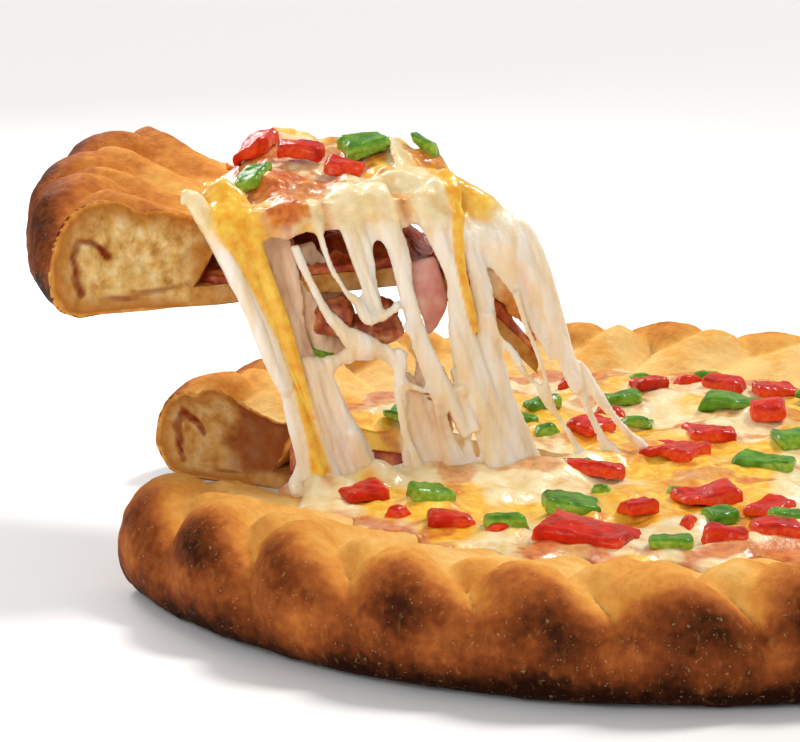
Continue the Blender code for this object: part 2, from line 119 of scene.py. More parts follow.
# Melted strands: points (distance from the centre along the cut, height, width and, if it isn't 0,
# how far forward the point lies) in millimetres, then the thickness as a share of the width, how
# far forward the whole strand lies, and how yellow it is
STRANDS = {
    "yellow": (((142, 120, 7, -10), (140, 118, 14, -3), (138, 112, 17), (133, 103, 13), (127, 87, 8.5),
        (121, 71, 6), (117, 55, 5), (114, 42, 6.5), (112, 31, 11), (111, 25, 14)), 0.42, 1.2, 1.0),
    "white_lip": (((153, 120, 4), (149, 119, 6), (144, 110, 6), (138, 97, 5), (131, 82, 5.5),
        (126, 69, 5.5), (122, 58, 4)), 0.8, 1.2, 0.0),
    "companion": (((127, 74, 4), (123, 64, 4), (120, 50, 4.4), (118, 38, 5.6), (118, 25, 9)), 0.6, 0.2,
        0.0),
    "pale_sheet": (((124, 108, 10), (120, 98, 9), (118, 86, 9), (116, 74, 8), (112, 64, 6)), 0.14, -4.5,
        0.0),
    "broad": (((113, 68, 8), (111, 60, 11), (107, 47, 15), (103, 34, 21), (102, 25, 26)), 0.16, -1.6,
        0.15),
    "broad_left": (((112, 66, 5), (112, 52, 6), (111, 38, 8), (110, 25, 12)), 0.3, -0.6, 0.6),
    "broad_right": (((108, 64, 4), (103, 50, 4), (98, 37, 5), (94, 25, 9)), 0.4, -0.6, 0.2),
    "thin": (((111, 116, 2.4), (108, 101, 1.4), (104, 92, 1.8), (99, 85, 3)), 0.9, 2.4, 0.0),
    "fibres": (((101, 120, 7, -8), (100, 117, 12, -1), (98, 108, 9), (96, 99, 7.6), (94, 91, 6),
        (92, 80, 6)), 0.34, 1.0, 0.0),
    "fibres_right": (((92, 112, 5), (92, 100, 3.6), (91, 90, 3), (90, 81, 4)), 0.6, 0.0, 0.0),
    "loop": (((99, 86, 3), (94, 79, 4), (88, 80, 3.2), (83, 83, 3.4)), 0.8, 2.0, 0.0),
    "middle": (((92, 120, 8, -8), (91, 117, 12, -1), (87, 108, 9), (83, 98, 7.6), (81, 87, 5.4),
        (79, 77, 5), (76, 67, 6), (73, 56, 5), (70, 44, 5), (67, 33, 8), (65, 25, 14)), 0.5, 0.8, 0.0),
    "left_web": (((117, 103, 3), (114, 95, 3), (111, 88, 3), (107, 81, 4.5), (102, 75, 5.5),
        (97, 71, 7), (92, 70, 5), (87, 67, 4), (83, 62, 5)), 0.5, 0.6, 0.0),
    "mass": (((122, 110, 6), (120, 102, 9), (117, 94, 12), (113, 86, 15), (110, 78, 15), (106, 70, 12),
        (103, 64, 6)), 0.4, -10.5, 0.1),
    "mass_low": (((109, 101, 5), (106, 94, 9), (104, 88, 12), (102, 81, 14), (99, 73, 12), (98, 66, 6)),
        0.35, -11.5, 0.1),
    "mass_edge": (((114, 66, 4), (108, 65, 6), (101, 67, 5), (95, 68, 5), (89, 67, 4), (84, 63, 4)),
        0.7, -1.2, 0.0),
    "far_sheet": (((73, 66, 5), (72, 55, 11), (71, 42, 15), (72, 30, 17), (72, 25, 19)), 0.12, -5.5,
        0.15),
    "white_top": (((69, 129, 3, -36), (71, 126, 6, -26), (72, 122, 8, -15), (70, 118, 9, -7),
        (68, 113, 9, -2), (69, 106, 7, 0.5)), 0.8, 1.0, 0.0),
    "second_ridge": (((90, 117, 5, -11), (85, 118, 7, -10), (79, 119, 8, -9), (73, 117, 9, -6),
        (69, 112, 8, -3)), 0.7, 1.0, 0.0),
    "white": (((72, 120, 9, -7), (71, 117, 13, -1), (70, 108, 11), (68, 99, 7.5), (65, 90, 6),
        (64, 82, 6), (62, 72, 8), (59, 59, 10), (54, 46, 12), (50, 34, 15), (48, 25, 19)), 0.42, 1.0,
        0.0),
    "white_right": (((61, 108, 7), (58, 99, 7), (56, 92, 7), (54, 82, 7.5), (53, 72, 8), (51, 62, 9),
        (48, 50, 9), (44, 38, 10), (41, 25, 14)), 0.4, -0.4, 0.12),
    "diagonal": (((82, 76, 3), (76, 69, 4), (71, 59, 5), (65, 49, 6), (60, 40, 8)), 0.6, 1.2, 0.0),
    "tip_mass": (((70, 119, 9, -13), (63, 116, 12, -10), (56, 111, 14, -7), (49, 105, 13, -5),
        (43, 98, 11, -3)), 0.8, 0.0, 0.8),
    "hook_right": (((64, 103, 6), (60, 102, 7), (54, 101, 8), (48, 99, 9), (42, 95, 10)), 0.6, -0.5,
        0.0),
    "gold": (((65, 122, 6, -9), (64, 118, 8, -3), (63, 110, 5), (63, 101, 4.2), (62, 90, 3.6),
        (60, 80, 3.4), (58, 72, 3)), 0.7, 2.2, 1.0),
    "column": (((83, 68, 5), (84, 57, 4.4), (83, 42, 3.6), (80, 34, 4), (77, 25, 8)), 0.6, 0.5, 0.0),
    "column_sheet": (((82, 60, 5), (77, 47, 12), (76, 34, 16), (76, 25, 20)), 0.12, -2.0, 0.1),
    "tip": (((49, 108, 8, -6), (45, 103, 12, -1), (40, 97, 12), (34, 86, 11), (29, 72, 8.5),
        (24, 57, 6.2), (21, 50, 5)), 0.5, 0.8, 0.0),
    "tip_left": (((51, 102, 8), (45, 92, 7), (40, 82, 5), (35, 70, 3.4), (30, 60, 3)), 0.4, 0.0, 0.1),
    "tip_web": (((58, 103, 9), (50, 97, 11), (43, 89, 10), (37, 80, 9)), 0.24, -1.2, 0.15),
    "tip_a": (((24, 58, 4.6), (19, 46, 3.2), (15, 36, 3.1), (12, 29, 5), (9, 25, 9)), 0.6, 0.3, 0.0),
    "tip_b": (((22, 59, 4.6), (14, 47, 3.8), (8, 38, 2.8), (1, 31, 2.4), (-6, 25.5, 4)), 0.6, 0.6, 0.0),
    "thin_tip": (((53, 78, 4), (50, 70, 2.8), (46, 65, 2.1), (41, 58, 1.9), (37, 53, 2.4),
        (34, 49, 4.2), (30, 42, 2.3), (25, 34, 2.5), (21, 25.5, 5)), 0.8, 1.6, 0.0),
    "thin_tip_second": (((44, 84, 3), (41, 74, 2.1), (38, 66, 1.8), (35, 57, 1.8), (33, 48, 3)), 0.8,
        2.6, 0.0),
    "link": (((84, 58, 3), (77, 55, 2.4), (70, 53, 2.8), (62, 54, 4)), 0.8, 1.6, 0.0),
    "foot_web": (((101, 44, 3), (98, 36, 2.4), (95, 30, 3), (93, 25, 5)), 0.6, 0.8, 0.0),
    "white_foot": (((64, 60, 4), (63, 48, 4), (61, 38, 3.5), (60, 25, 7)), 0.5, -0.6, 0.0),
}

# Lumps of meat and cheese under the skin of the slice's top: x, y, radius, height, millimetres
LUMPS = ((-21, 1, 13, 5), (-33, -2, 10, 3.5), (-11, 0, 8, 3.5), (-94, -33, 9, 4.5), (-84, -31, 6, 3.5),
         (-73, -27, 9, 4), (-61, -21, 8, 3.5), (-108, -22, 7, 3), (-48, -13, 8, 3), (-88, 14, 10, 2.5),
         (-62, 8, 9, 2.5), (-104, -6, 8, 2), (-46, 8, 9, 2))

# Sauce rolled into the dough of the rim: a line through its cross-section, (radius, height)
SAUCE_LINE = ((0.1672, 0.0072), (0.1690, 0.0120), (0.1694, 0.0180), (0.1672, 0.0238), (0.1640, 0.0228),
              (0.1590, 0.0178))

# Sauce where the rolled dough rests on the floor of dough
SAUCE_REACH = 0.0012
SAUCE_SEAM = ((0.1330, 0.0075), (0.1400, 0.0058), (0.1500, 0.0050), (0.1600, 0.0052))

# More small bits of pepper, which only the finish has: x, y, length and width in millimetres,
# and the turn in degrees
LOOSE_RED = ((-46, -8, 9, 4, 30), (-8, 52, 9, 6, 0), (-104, -52, 8, 6, 20), (16, -88, 7, 5, 70),
             (60, -60, 8, 6, 20), (-24, 96, 10, 6, 0), (20, 104, 9, 6, 20), (-64, -66, 6, 4, 0),
             (70, 10, 7, 5, 0), (-70, -84, 7, 5, 40), (-40, -100, 7, 4, 10))
LOOSE_GREEN = ((3, 107, 12, 6, 0), (27, 112, 12, 7, 10), (1, 45, 12, 8, 0), (-29, 22, 9, 6, 30),
               (-10, -52, 6, 4, 0), (60, -30, 8, 5, 0), (-50, 46, 9, 5, 20), (-14, -22, 6, 4, 60),
               (64, 40, 8, 6, 0), (14, -50, 6, 4, 20))


def linear(code):
    """A colour written as on screen, #rrggbb, turned to the linear values a shader takes."""
    values = [int(code[i:i + 2], 16) / 255 for i in (1, 3, 5)]
    return tuple(v / 12.92 if v <= 0.04045 else ((v + 0.055) / 1.055) ** 2.4 for v in values) + (1.0,)


def smooth(t):
    """0 below 0, 1 above 1, and 3t^2 - 2t^3 between."""
    t = np.clip(t, 0, 1)
    return t * t * (3 - 2 * t)


def noise(points, size, seed):
    """Smooth noise from -1 to 1 with cells of one size.

    A corner's value is a hash of its cell and the seed, made with large primes. The values
    of a cell's eight corners are blended by 3t^2 - 2t^3 along each axis.
    """
    place = np.atleast_2d(points) / size + 1000.0
    cell = np.floor(place).astype(np.int64)
    part = place - cell
    part = part * part * (3 - 2 * part)
    total = np.zeros(len(place))
    for corner in range(8):
        step = np.array([corner & 1, (corner >> 1) & 1, (corner >> 2) & 1])
        key = cell + step
        mixed = (key[:, 0] * 73856093) ^ (key[:, 1] * 19349663) ^ (key[:, 2] * 83492791) ^ (seed * 2654435)
        mixed = (mixed ^ (mixed >> 13)) * 1274126177 & 0x7FFFFFFF
        mixed = (mixed ^ (mixed >> 16)) & 0xFFFF
        weight = np.prod(np.where(step, part, 1 - part), axis=1)
        total += weight * (mixed / 32767.5 - 1)
    return total


def fractal(points, size, seed, octaves=4):
    """Noise summed over halving sizes and halving strengths."""
    return sum(noise(points, size / 2 ** k, seed + k) / 2 ** k for k in range(octaves))


def make_piece(name, points, quads):
    """A mesh piece from arrays of points and faces."""
    mesh = bpy.data.meshes.new(name)
    mesh.from_pydata(points.tolist(), [], quads.tolist() if hasattr(quads, "tolist") else quads)
    mesh.validate()
    piece = bpy.data.objects.new(name, mesh)
    bpy.context.scene.collection.objects.link(piece)
    mesh.shade_smooth()
    return piece


def settle(piece, slot, *nodes):
    """The piece has its slot's material, rides on the body and stands for its nodes."""
    piece.data.materials.append(MATERIALS[slot])
    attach(piece, "root")
    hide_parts(*nodes)


def vectors(items, field):
    """One vector for every item of a mesh, as an array."""
    out = np.empty(len(items) * 3)
    items.foreach_get(field, out)
    return out.reshape(-1, 3)


def vertex_places(piece):
    """The piece's vertices as an array."""
    return vectors(piece.data.vertices, "co")


def vertex_normals(piece):
    """The piece's vertex normals as an array."""
    return vectors(piece.data.vertex_normals, "vector")


def set_places(piece, places):
    """Put an array back as the piece's vertices."""
    piece.data.vertices.foreach_set("co", np.ascontiguousarray(places, dtype=np.float32).ravel())
    piece.data.update()


def set_tone(piece, name, values):
    """Store one number from 0 to 1 at every vertex, for the material to read."""
    layer = piece.data.attributes.get(name) or piece.data.attributes.new(name, "FLOAT", "POINT")
    layer.data.foreach_set("value", np.clip(values, 0, 1).astype(np.float32))


def merge_and_face_out(piece, distance=0.00002):
    """Weld what meets, and turn every face outwards."""
    shape = bmesh.new()
    shape.from_mesh(piece.data)
    bmesh.ops.remove_doubles(shape, verts=shape.verts, dist=distance)
    bmesh.ops.recalc_face_normals(shape, faces=shape.faces)
    shape.to_mesh(piece.data)
    shape.free()
    piece.data.shade_smooth()
    return piece


def grid_faces(rows, columns, wrap=False):
    """Quads between neighbouring points of a grid stored row by row."""
    last = columns if wrap else columns - 1
    i, j = np.meshgrid(np.arange(rows - 1), np.arange(last), indexing="ij")
    a = i * columns + j
    b = i * columns + (j + 1) % columns
    return np.stack([a, b, b + columns, a + columns], axis=-1).reshape(-1, 4)


# Shape of the dough and the cheese

def lobe_count(azimuth):
    """How many lobes of the braid lie between LOBE_ZERO and an azimuth, with a drift behind."""
    drift = -0.4 * np.exp(-(((azimuth % 360) - 93.0) / 30.0) ** 2)
    return (azimuth - LOBE_ZERO) * LOBES / 360.0 + drift


def well_radius(azimuth):
    """The dough's scalloped inner edge, where it meets the cheese."""
    return RIM_OUTLINE[-1][0] + SCALLOP * np.cos(2 * np.pi * (lobe_count(azimuth) + 0.35))


def curve_through(knots, samples):
    """A smooth curve through knots: cubic spans whose slopes join the knots on either side."""
    knots = np.vstack([2 * knots[0] - knots[1], knots, 2 * knots[-1] - knots[-2]])
    spans = len(knots) - 3
    place = np.linspace(0, spans, samples)
    index = np.minimum(place.astype(int), spans - 1)
    t = (place - index)[:, None]
    p0, p1, p2, p3 = (knots[index + k] for k in range(4))
    return 0.5 * (2 * p1 + (p2 - p0) * t + (2 * p0 - 5 * p1 + 4 * p2 - p3) * t ** 2
                  + (3 * p1 - p0 - 3 * p2 + p3) * t ** 3)


def directions(azimuth):
    """Unit vectors at an azimuth: outward, and a quarter turn on from that."""
    turn = math.radians(azimuth)
    outward = np.array([math.cos(turn), math.sin(turn), 0])
    return outward, np.array([-outward[1], outward[0], 0])


def azimuths(points):
    """The azimuth of every point, in degrees."""
    return np.degrees(np.arctan2(points[:, 1], points[:, 0]))


def braid(azimuth, along):
    """Relief of the braid, and which part of it a place is on.

    Outer and inner lobes are rows of arches, 1 - |2f - 1|^2, which lean opposite ways and
    are half a lobe apart, with a zigzag groove between them just inside the crest.
    Returns (height, lobe from 0 at a groove to 1 at its top, 0 outer to 1 inner).
    """
    count = lobe_count(azimuth)
    outer = (count + LOBE_SLANT * (along - CREST_AT)) % 1.0
    inner = (count + 0.5 - LOBE_SLANT * (along - CREST_AT)) % 1.0
    outer_lobe = 1 - np.abs(2 * ((outer + 0.5) % 1.0) - 1) ** 2
    inner_lobe = 1 - np.abs(2 * ((inner + 0.5) % 1.0) - 1) ** 2
    zigzag = CREST_AT + 0.09 + 0.10 * np.cos(2 * np.pi * count)
    side = 1 / (1 + np.exp(-(along - zigzag) / 0.03))
    lobe = outer_lobe * (1 - side) + inner_lobe * side
    fade = np.clip((along - 0.10) / 0.32, 0, 1) ** 1.5 * (1 - 0.75 * np.clip((along - 0.70) / 0.25, 0, 1))
    pinch = np.exp(-((along - 0.46) / 0.10) ** 2) * (1 - outer_lobe) ** 3
    groove = np.exp(-((along - zigzag) / 0.045) ** 2)
    size = 1 + 0.25 * np.sin(1.9 * count + 1.0)
    relief = fade * (LOBE_HEIGHT * size * (lobe - 0.55) - GROOVE_DEPTH * groove) - PINCH_DEPTH * pinch
    return relief, lobe, side


def rim_point(azimuth, along):
    """(radius, height) of the rim's skin at arrays of azimuths and places along the outline."""
    samples = 241
    table = curve_through(np.array(RIM_OUTLINE), samples)
    tangent = np.gradient(table, axis=0)
    normal = np.stack([tangent[:, 1], -tangent[:, 0]], axis=1)
    normal /= np.linalg.norm(normal, axis=1)[:, None]
    steps = np.linspace(0, 1, samples)
    height, _, _ = braid(azimuth, along)
    radius = np.interp(along, steps, table[:, 0]) + height * np.interp(along, steps, normal[:, 0])
    level = np.interp(along, steps, table[:, 1]) + height * np.interp(along, steps, normal[:, 1])
    reach = np.clip((along - 0.72) / 0.28, 0, 1) ** 2
    end_height, _, _ = braid(azimuth, np.ones_like(along))
    end_radius = table[-1, 0] + end_height * normal[-1, 0]
    return radius + reach * (well_radius(azimuth) - end_radius), level


def cheese_level(x, y):
    """The cheese's upper surface as in the CAD: shallow waves on a level sheet."""
    radius = np.hypot(x, y)
    waves = np.sin(92 * x + 1.3) * np.cos(81 * y - 0.4) + 0.7 * np.sin(150 * x - 118 * y + 2.0)
    return CHEESE_TOP + CHEESE_RELIEF * waves * np.clip((0.118 - radius) / 0.02, 0, 1)


def pile(x, y):
    """How far the slice's cheese is piled up, as in the CAD: most on the middle of its far side."""
    turn = np.arctan2(y, x) - math.radians(SLICE_AZIMUTH)
    reach = np.hypot(x, y) * np.cos(turn)
    side = np.hypot(x, y) * np.sin(turn)
    half_width = np.maximum(0.41 * reach, 0.006)
    across = PILE_NEAR_SHARE + (1 - PILE_NEAR_SHARE) * smooth(0.6 * (half_width - side) / half_width)
    return PILE * across * smooth((reach - 0.005) / 0.045) * (1 - smooth((reach - 0.100) / 0.018))


def fan(tip, first, last, steps):
    """Rays out of a tip: their unit directions, evenly turned from first to last."""
    angle = np.radians(np.linspace(first, last, steps))
    return np.asarray(tip)[:2], np.stack([np.cos(angle), np.sin(angle)], axis=1)


def reach_radius(tip, rays, radius):
    """How far along each ray from the tip a circle of that radius lies."""
    along = rays @ tip
    return -along + np.sqrt(np.maximum(along ** 2 - tip @ tip + radius ** 2, 0))


def ring(tip, rays, radius, level):
    """Where the rays meet a circle, at a level. The tip itself, if the circle is within it."""
    far = reach_radius(tip, rays, radius) * (np.max(radius) > np.linalg.norm(tip))
    return np.column_stack([tip + rays * far[:, None], np.broadcast_to(level, len(rays))])


def lift_points(points):
    """Carry points of the uncut pizza to where the lifted slice holds them, as the CAD does."""
    outward, across = directions(SLICE_AZIMUTH)
    reach = points @ outward
    side = points @ across
    depth = np.maximum(0.0, DROOP_START - reach)
    drop = DROOP * (depth / DROOP_START) ** 1.5
    reach = reach + DROOP_SHORTENING * depth
    height = points[:, 2] - drop - math.sin(ROLL) * side
    return (reach[:, None] * outward + side[:, None] * across
            + np.stack([0 * height, 0 * height, height], axis=1) + LIFT)


def crust_grid(tip, first, last, steps, samples=110):
    """The dough as a loft of radial sections: underside, rim, undercut wall and floor.

    Every section starts and ends at the tip. Returns points (row, column, 3), with the
    place along the rim's outline of every row, or which other part the row is on.
    """
    tip, rays = fan(tip, first, last, steps)
    rows = [ring(tip, rays, radius, 0.0) for radius in np.linspace(0.0, RIM_OUTLINE[0][0], 24)[:-1]]
    marks = [UNDERSIDE] * len(rows)
    for along in np.linspace(0, 1, samples) ** 0.9:
        azimuth = azimuths(rays)
        for _ in range(3):
            radius, level = rim_point(azimuth, np.full(len(rays), along))
            row = ring(tip, rays, radius, level)
            azimuth = azimuths(row)
        rows.append(row)
        marks.append(along)
    inner = np.hypot(row[:, 0], row[:, 1])
    top = row[:, 2]
    for share in np.linspace(0, 1, 9)[1:]:
        bulge = 0.0012 * math.sin(math.pi * share)
        radius = inner + (WELL_FOOT_RADIUS - inner) * share ** 1.5 + bulge
        rows.append(ring(tip, rays, radius, top + (FLOOR_TOP - top) * share))
        marks.append(INNER_WALL)
    for radius in np.linspace(WELL_FOOT_RADIUS, 0.0, 19)[1:]:
        rows.append(ring(tip, rays, radius, FLOOR_TOP))
        marks.append(DOUGH_FLOOR)
    return np.array(rows), np.array(marks)


def cut_face(column, marks, rings=34, steps=40):
    """A cut through the dough, closed by two grids that share the section's points.

    The roll is a fan of rings that shrink towards its middle. The floor is a strip from
    the underside to the top of the floor. Returns points, faces and, for every point, its
    depth: 0 at the skin and 1 in the middle.
    """
    under = np.flatnonzero(marks == UNDERSIDE)
    floor = np.flatnonzero(marks == DOUGH_FLOOR)
    radius = np.linalg.norm(column[:, :2], axis=1)
    foot_under = under[np.argmin(np.abs(radius[under] - WELL_FOOT_RADIUS))]
    loop = column[foot_under:floor[0]]
    outward = column[foot_under, :2] / radius[foot_under]
    middle = np.array([*(outward * ROLL_MIDDLE[0]), ROLL_MIDDLE[1]])
    share = np.linspace(0, 1, rings)[:, None, None]
    roll = loop[None] * (1 - share) + middle * share
    points = [roll.reshape(-1, 3)]
    faces = [grid_faces(rings, len(loop))]
    close = np.linspace(0, 1, 7)
    seam_low = loop[0]
    seam_high = loop[-1]
    gap = np.minimum(np.linalg.norm(loop - seam_low, axis=1), np.linalg.norm(loop - seam_high, axis=1))
    start = 0.25 * np.exp(-(gap / 0.006) ** 2)
    depth = [(start[None] + (1 - start[None]) * share[:, :, 0]).ravel()]
    gate = seam_low[None] + (seam_high - seam_low)[None] * close[:, None]
    gate_fan = gate[None] * (1 - share) + middle * share
    faces.append(grid_faces(rings, len(gate)) + len(points[0]))
    points.append(gate_fan.reshape(-1, 3))
    depth.append(np.repeat(0.25 + 0.75 * share.ravel(), len(gate)))
    reach = np.linspace(0, 1, steps)[:, None, None]
    tip_low = column[under[0]]
    tip_high = column[floor[-1]]
    low = tip_low + (seam_low - tip_low) * reach
    high = tip_high + (seam_high - tip_high) * reach
    sheet = low + (high - low) * close[None, :, None]
    faces.append(grid_faces(steps, len(close)) + len(points[0]) + len(points[1]))
    points.append(sheet.reshape(-1, 3))
    depth.append(np.repeat(0.25, steps * len(close)))
    return np.vstack(points), np.vstack(faces), np.concatenate(depth)


def bake_and_shade_tone(points, along, seed, darker):
    """How brown the dough is, with painted shade in it: most at the foot and on the outer wall, which are
    partly browning and partly painted shade, on the lobes' tops, and at the near right, which is painted
    shade.
    """
    azimuth = azimuths(points)
    _, lobe, side = braid(azimuth, np.clip(along, 0, 1))
    wrinkle = fractal(points, 0.013, seed, 4)
    broad = fractal(points, 0.045, seed + 5, 2)
    wall = smooth((0.46 - along) / 0.16)
    crown = np.exp(-((along - 0.40) / 0.11) ** 2) * lobe ** 1.2
    crease = (1 - lobe) ** 1.5 * smooth((along - 0.30) / 0.16)
    behind = smooth((np.sin(np.radians(azimuth)) - 0.1) / 0.6)
    # Painted shade: the outer wall (0.25 * wall) and the foot (0.48 * ...) are darkened partly for
    # browning and partly as painted shade, where the wall faces away from the light and meets the floor.
    # The last term darkens the near right of the wall as painted shade.
    bake_and_shade = (0.32 + darker + 0.25 * wall + 0.48 * smooth((0.30 - along) / 0.24) + 0.37 * crown
            + 0.07 * lobe * side * smooth((0.90 - along) / 0.15) - 0.16 * crease
            + 0.11 * wrinkle + 0.07 * broad - (0.15 + 0.08 * behind) * side
            + wall * (0.30 * np.exp(-((azimuth % 360 - 312) / 45) ** 2) - 0.02))
    bake_and_shade = np.where(along >= 0, bake_and_shade, 0.80 + 0.12 * wrinkle)
    return np.where(along <= INNER_WALL, 0.30 + 0.1 * wrinkle, bake_and_shade)


def sauce_and_shade_tone(points, stained_and_shaded):
    """Sauce on a cut: near SAUCE_LINE and SAUCE_SEAM, and, if asked, beside the well too, where the dark
    tone is partly sauce and partly painted shade.
    """
    section = np.stack([np.hypot(points[:, 0], points[:, 1]), points[:, 2]], axis=1)
    section += 0.0011 * np.stack([noise(points, 0.005, 33), noise(points, 0.005, 35)], axis=1)
    patchy = 0.5 * noise(points, 0.004, 37)
    sauce_and_shade = smooth(1.6 - line_distance(section, np.array(SAUCE_LINE)) / SAUCE_REACH + patchy)
    seam = smooth(1.1 - line_distance(section, np.array(SAUCE_SEAM)) / SAUCE_REACH + 1.4 * patchy)
    sauce_and_shade = np.maximum(sauce_and_shade, 0.8 * seam) * (0.85 + 0.25 * noise(points, 0.002, 39))
    # Beside the well on the pizza's cut faces: partly sauce, partly painted shade.
    if stained_and_shaded:
        stain_and_shade = smooth((0.153 - section[:, 0]) / 0.012 + 0.5 * noise(points, 0.005, 36))
        sauce_and_shade = np.maximum(sauce_and_shade, 0.75 * stain_and_shade * smooth((section[:, 1] - 0.003) / 0.004))
    return sauce_and_shade


def build_crust(name, tip, first, last, steps, lifted, seed, darker):
    """A whole crust: the loft, its two cut faces, fine relief, and its baking tones, with painted shade on
    the outer wall, at its foot and on the cut faces of the pizza that stays down.
    """
    grid, marks = crust_grid(tip, first, last, steps)
    rows, columns = grid.shape[:2]
    count = rows * columns
    points = [grid.reshape(-1, 3)]
    faces = [grid_faces(rows, columns)]
    cut = [np.zeros(count)]
    for column in (0, columns - 1):
        face_points, face_quads, depth = cut_face(grid[:, column], marks)
        faces.append(face_quads + sum(len(p) for p in points))
        points.append(face_points)
        cut.append(0.02 + depth)
    points = np.vstack(points)
    cut = np.concatenate(cut)
    along = np.concatenate([np.repeat(marks, columns), np.full(len(points) - count, CUT_FACE)])
    bake_and_shade = bake_and_shade_tone(points, along, seed, darker)
    sauce_and_shade = sauce_and_shade_tone(points, stained_and_shaded=not lifted)
    # Painted shade: on the pizza that stays down, the cut faces keep the brown next to the skin and never
    # reach the cream crumb.
    if not lifted:
        cut = np.minimum(cut, 0.28)
    piece = make_piece(name, lift_points(points) if lifted else points, np.vstack(faces))
    set_tone(piece, "bake_and_shade", bake_and_shade)
    set_tone(piece, "cut", cut)
    set_tone(piece, "sauce_and_shade", sauce_and_shade * (cut > 0.01))
    merge_and_face_out(piece)
    places = vertex_places(piece)
    inside = np.zeros(len(places))
    piece.data.attributes["cut"].data.foreach_get("value", inside)
    fine = 0.00028 * fractal(places, 0.0035, seed + 7, 2) + 0.00045 * fractal(places, 0.012, seed + 9, 2)
    crumb = 0.0007 * fractal(places, 0.0022, seed + 11, 3) * (inside > 0.05)
    amount = np.where(places[:, 2] < 0.0005, 0, fine + crumb)
    set_places(piece, keep_in_box(places + vertex_normals(piece) * amount[:, None]))
    return piece


def line_distance(spots, line):
    """How far each 2D spot is from a line of straight pieces."""
    best = np.full(len(spots), 1.0)
    for a, b in zip(line, line[1:]):
        way = b - a
        t = np.clip(((spots - a) @ way) / (way @ way), 0, 1)[:, None]
        best = np.minimum(best, np.linalg.norm(spots - a - t * way, axis=1))
    return best


def keep_in_box(places):
    """Hold points inside the CAD model's box."""
    low, high = (np.array(corner) for corner in cad_box)
    return np.clip(places, low, high)


def flat_at(height):
    """A level surface for a layer."""
    return lambda x, y: np.full_like(x, height)


def filling_edge(azimuth):
    """Where the filling ends, just inside the dough."""
    return well_radius(azimuth) + 0.004


def layer_grid(tip, first, last, steps, radii, top, bottom, edge):
    """A layer round a tip: rings from the tip to its edge below, and back above."""
    tip, rays = fan(tip, first, last, steps)
    rows = []
    azimuth = azimuths(rays)
    for _ in range(3):
        rim = edge(azimuth)
        azimuth = azimuths(ring(tip, rays, rim, 0.0))
    for share, above in [(s, False) for s in radii] + [(s, True) for s in radii[::-1]]:
        far = reach_radius(tip, rays, rim) * share
        spot = tip + rays * far[:, None]
        level = (top if above else bottom)(spot[:, 0], spot[:, 1])
        rows.append(np.column_stack([spot, level]))
    return np.array(rows)


def build_layer(name, grid, levels=7):
    """A closed layer from its grid: the loft and a strip over each cut face."""
    rows, columns = grid.shape[:2]
    half = rows // 2
    faces = [grid_faces(rows, columns)]
    points = [grid.reshape(-1, 3)]
    for column in (0, columns - 1):
        low = grid[:half, column]
        high = grid[half:, column][::-1]
        share = np.linspace(0, 1, levels)[None, :, None]
        strip = low[:, None] * (1 - share) + high[:, None] * share
        faces.append(grid_faces(half, levels) + sum(len(p) for p in points))
        points.append(strip.reshape(-1, 3))
    return merge_and_face_out(make_piece(name, np.vstack(points), np.vstack(faces)))


# Materials

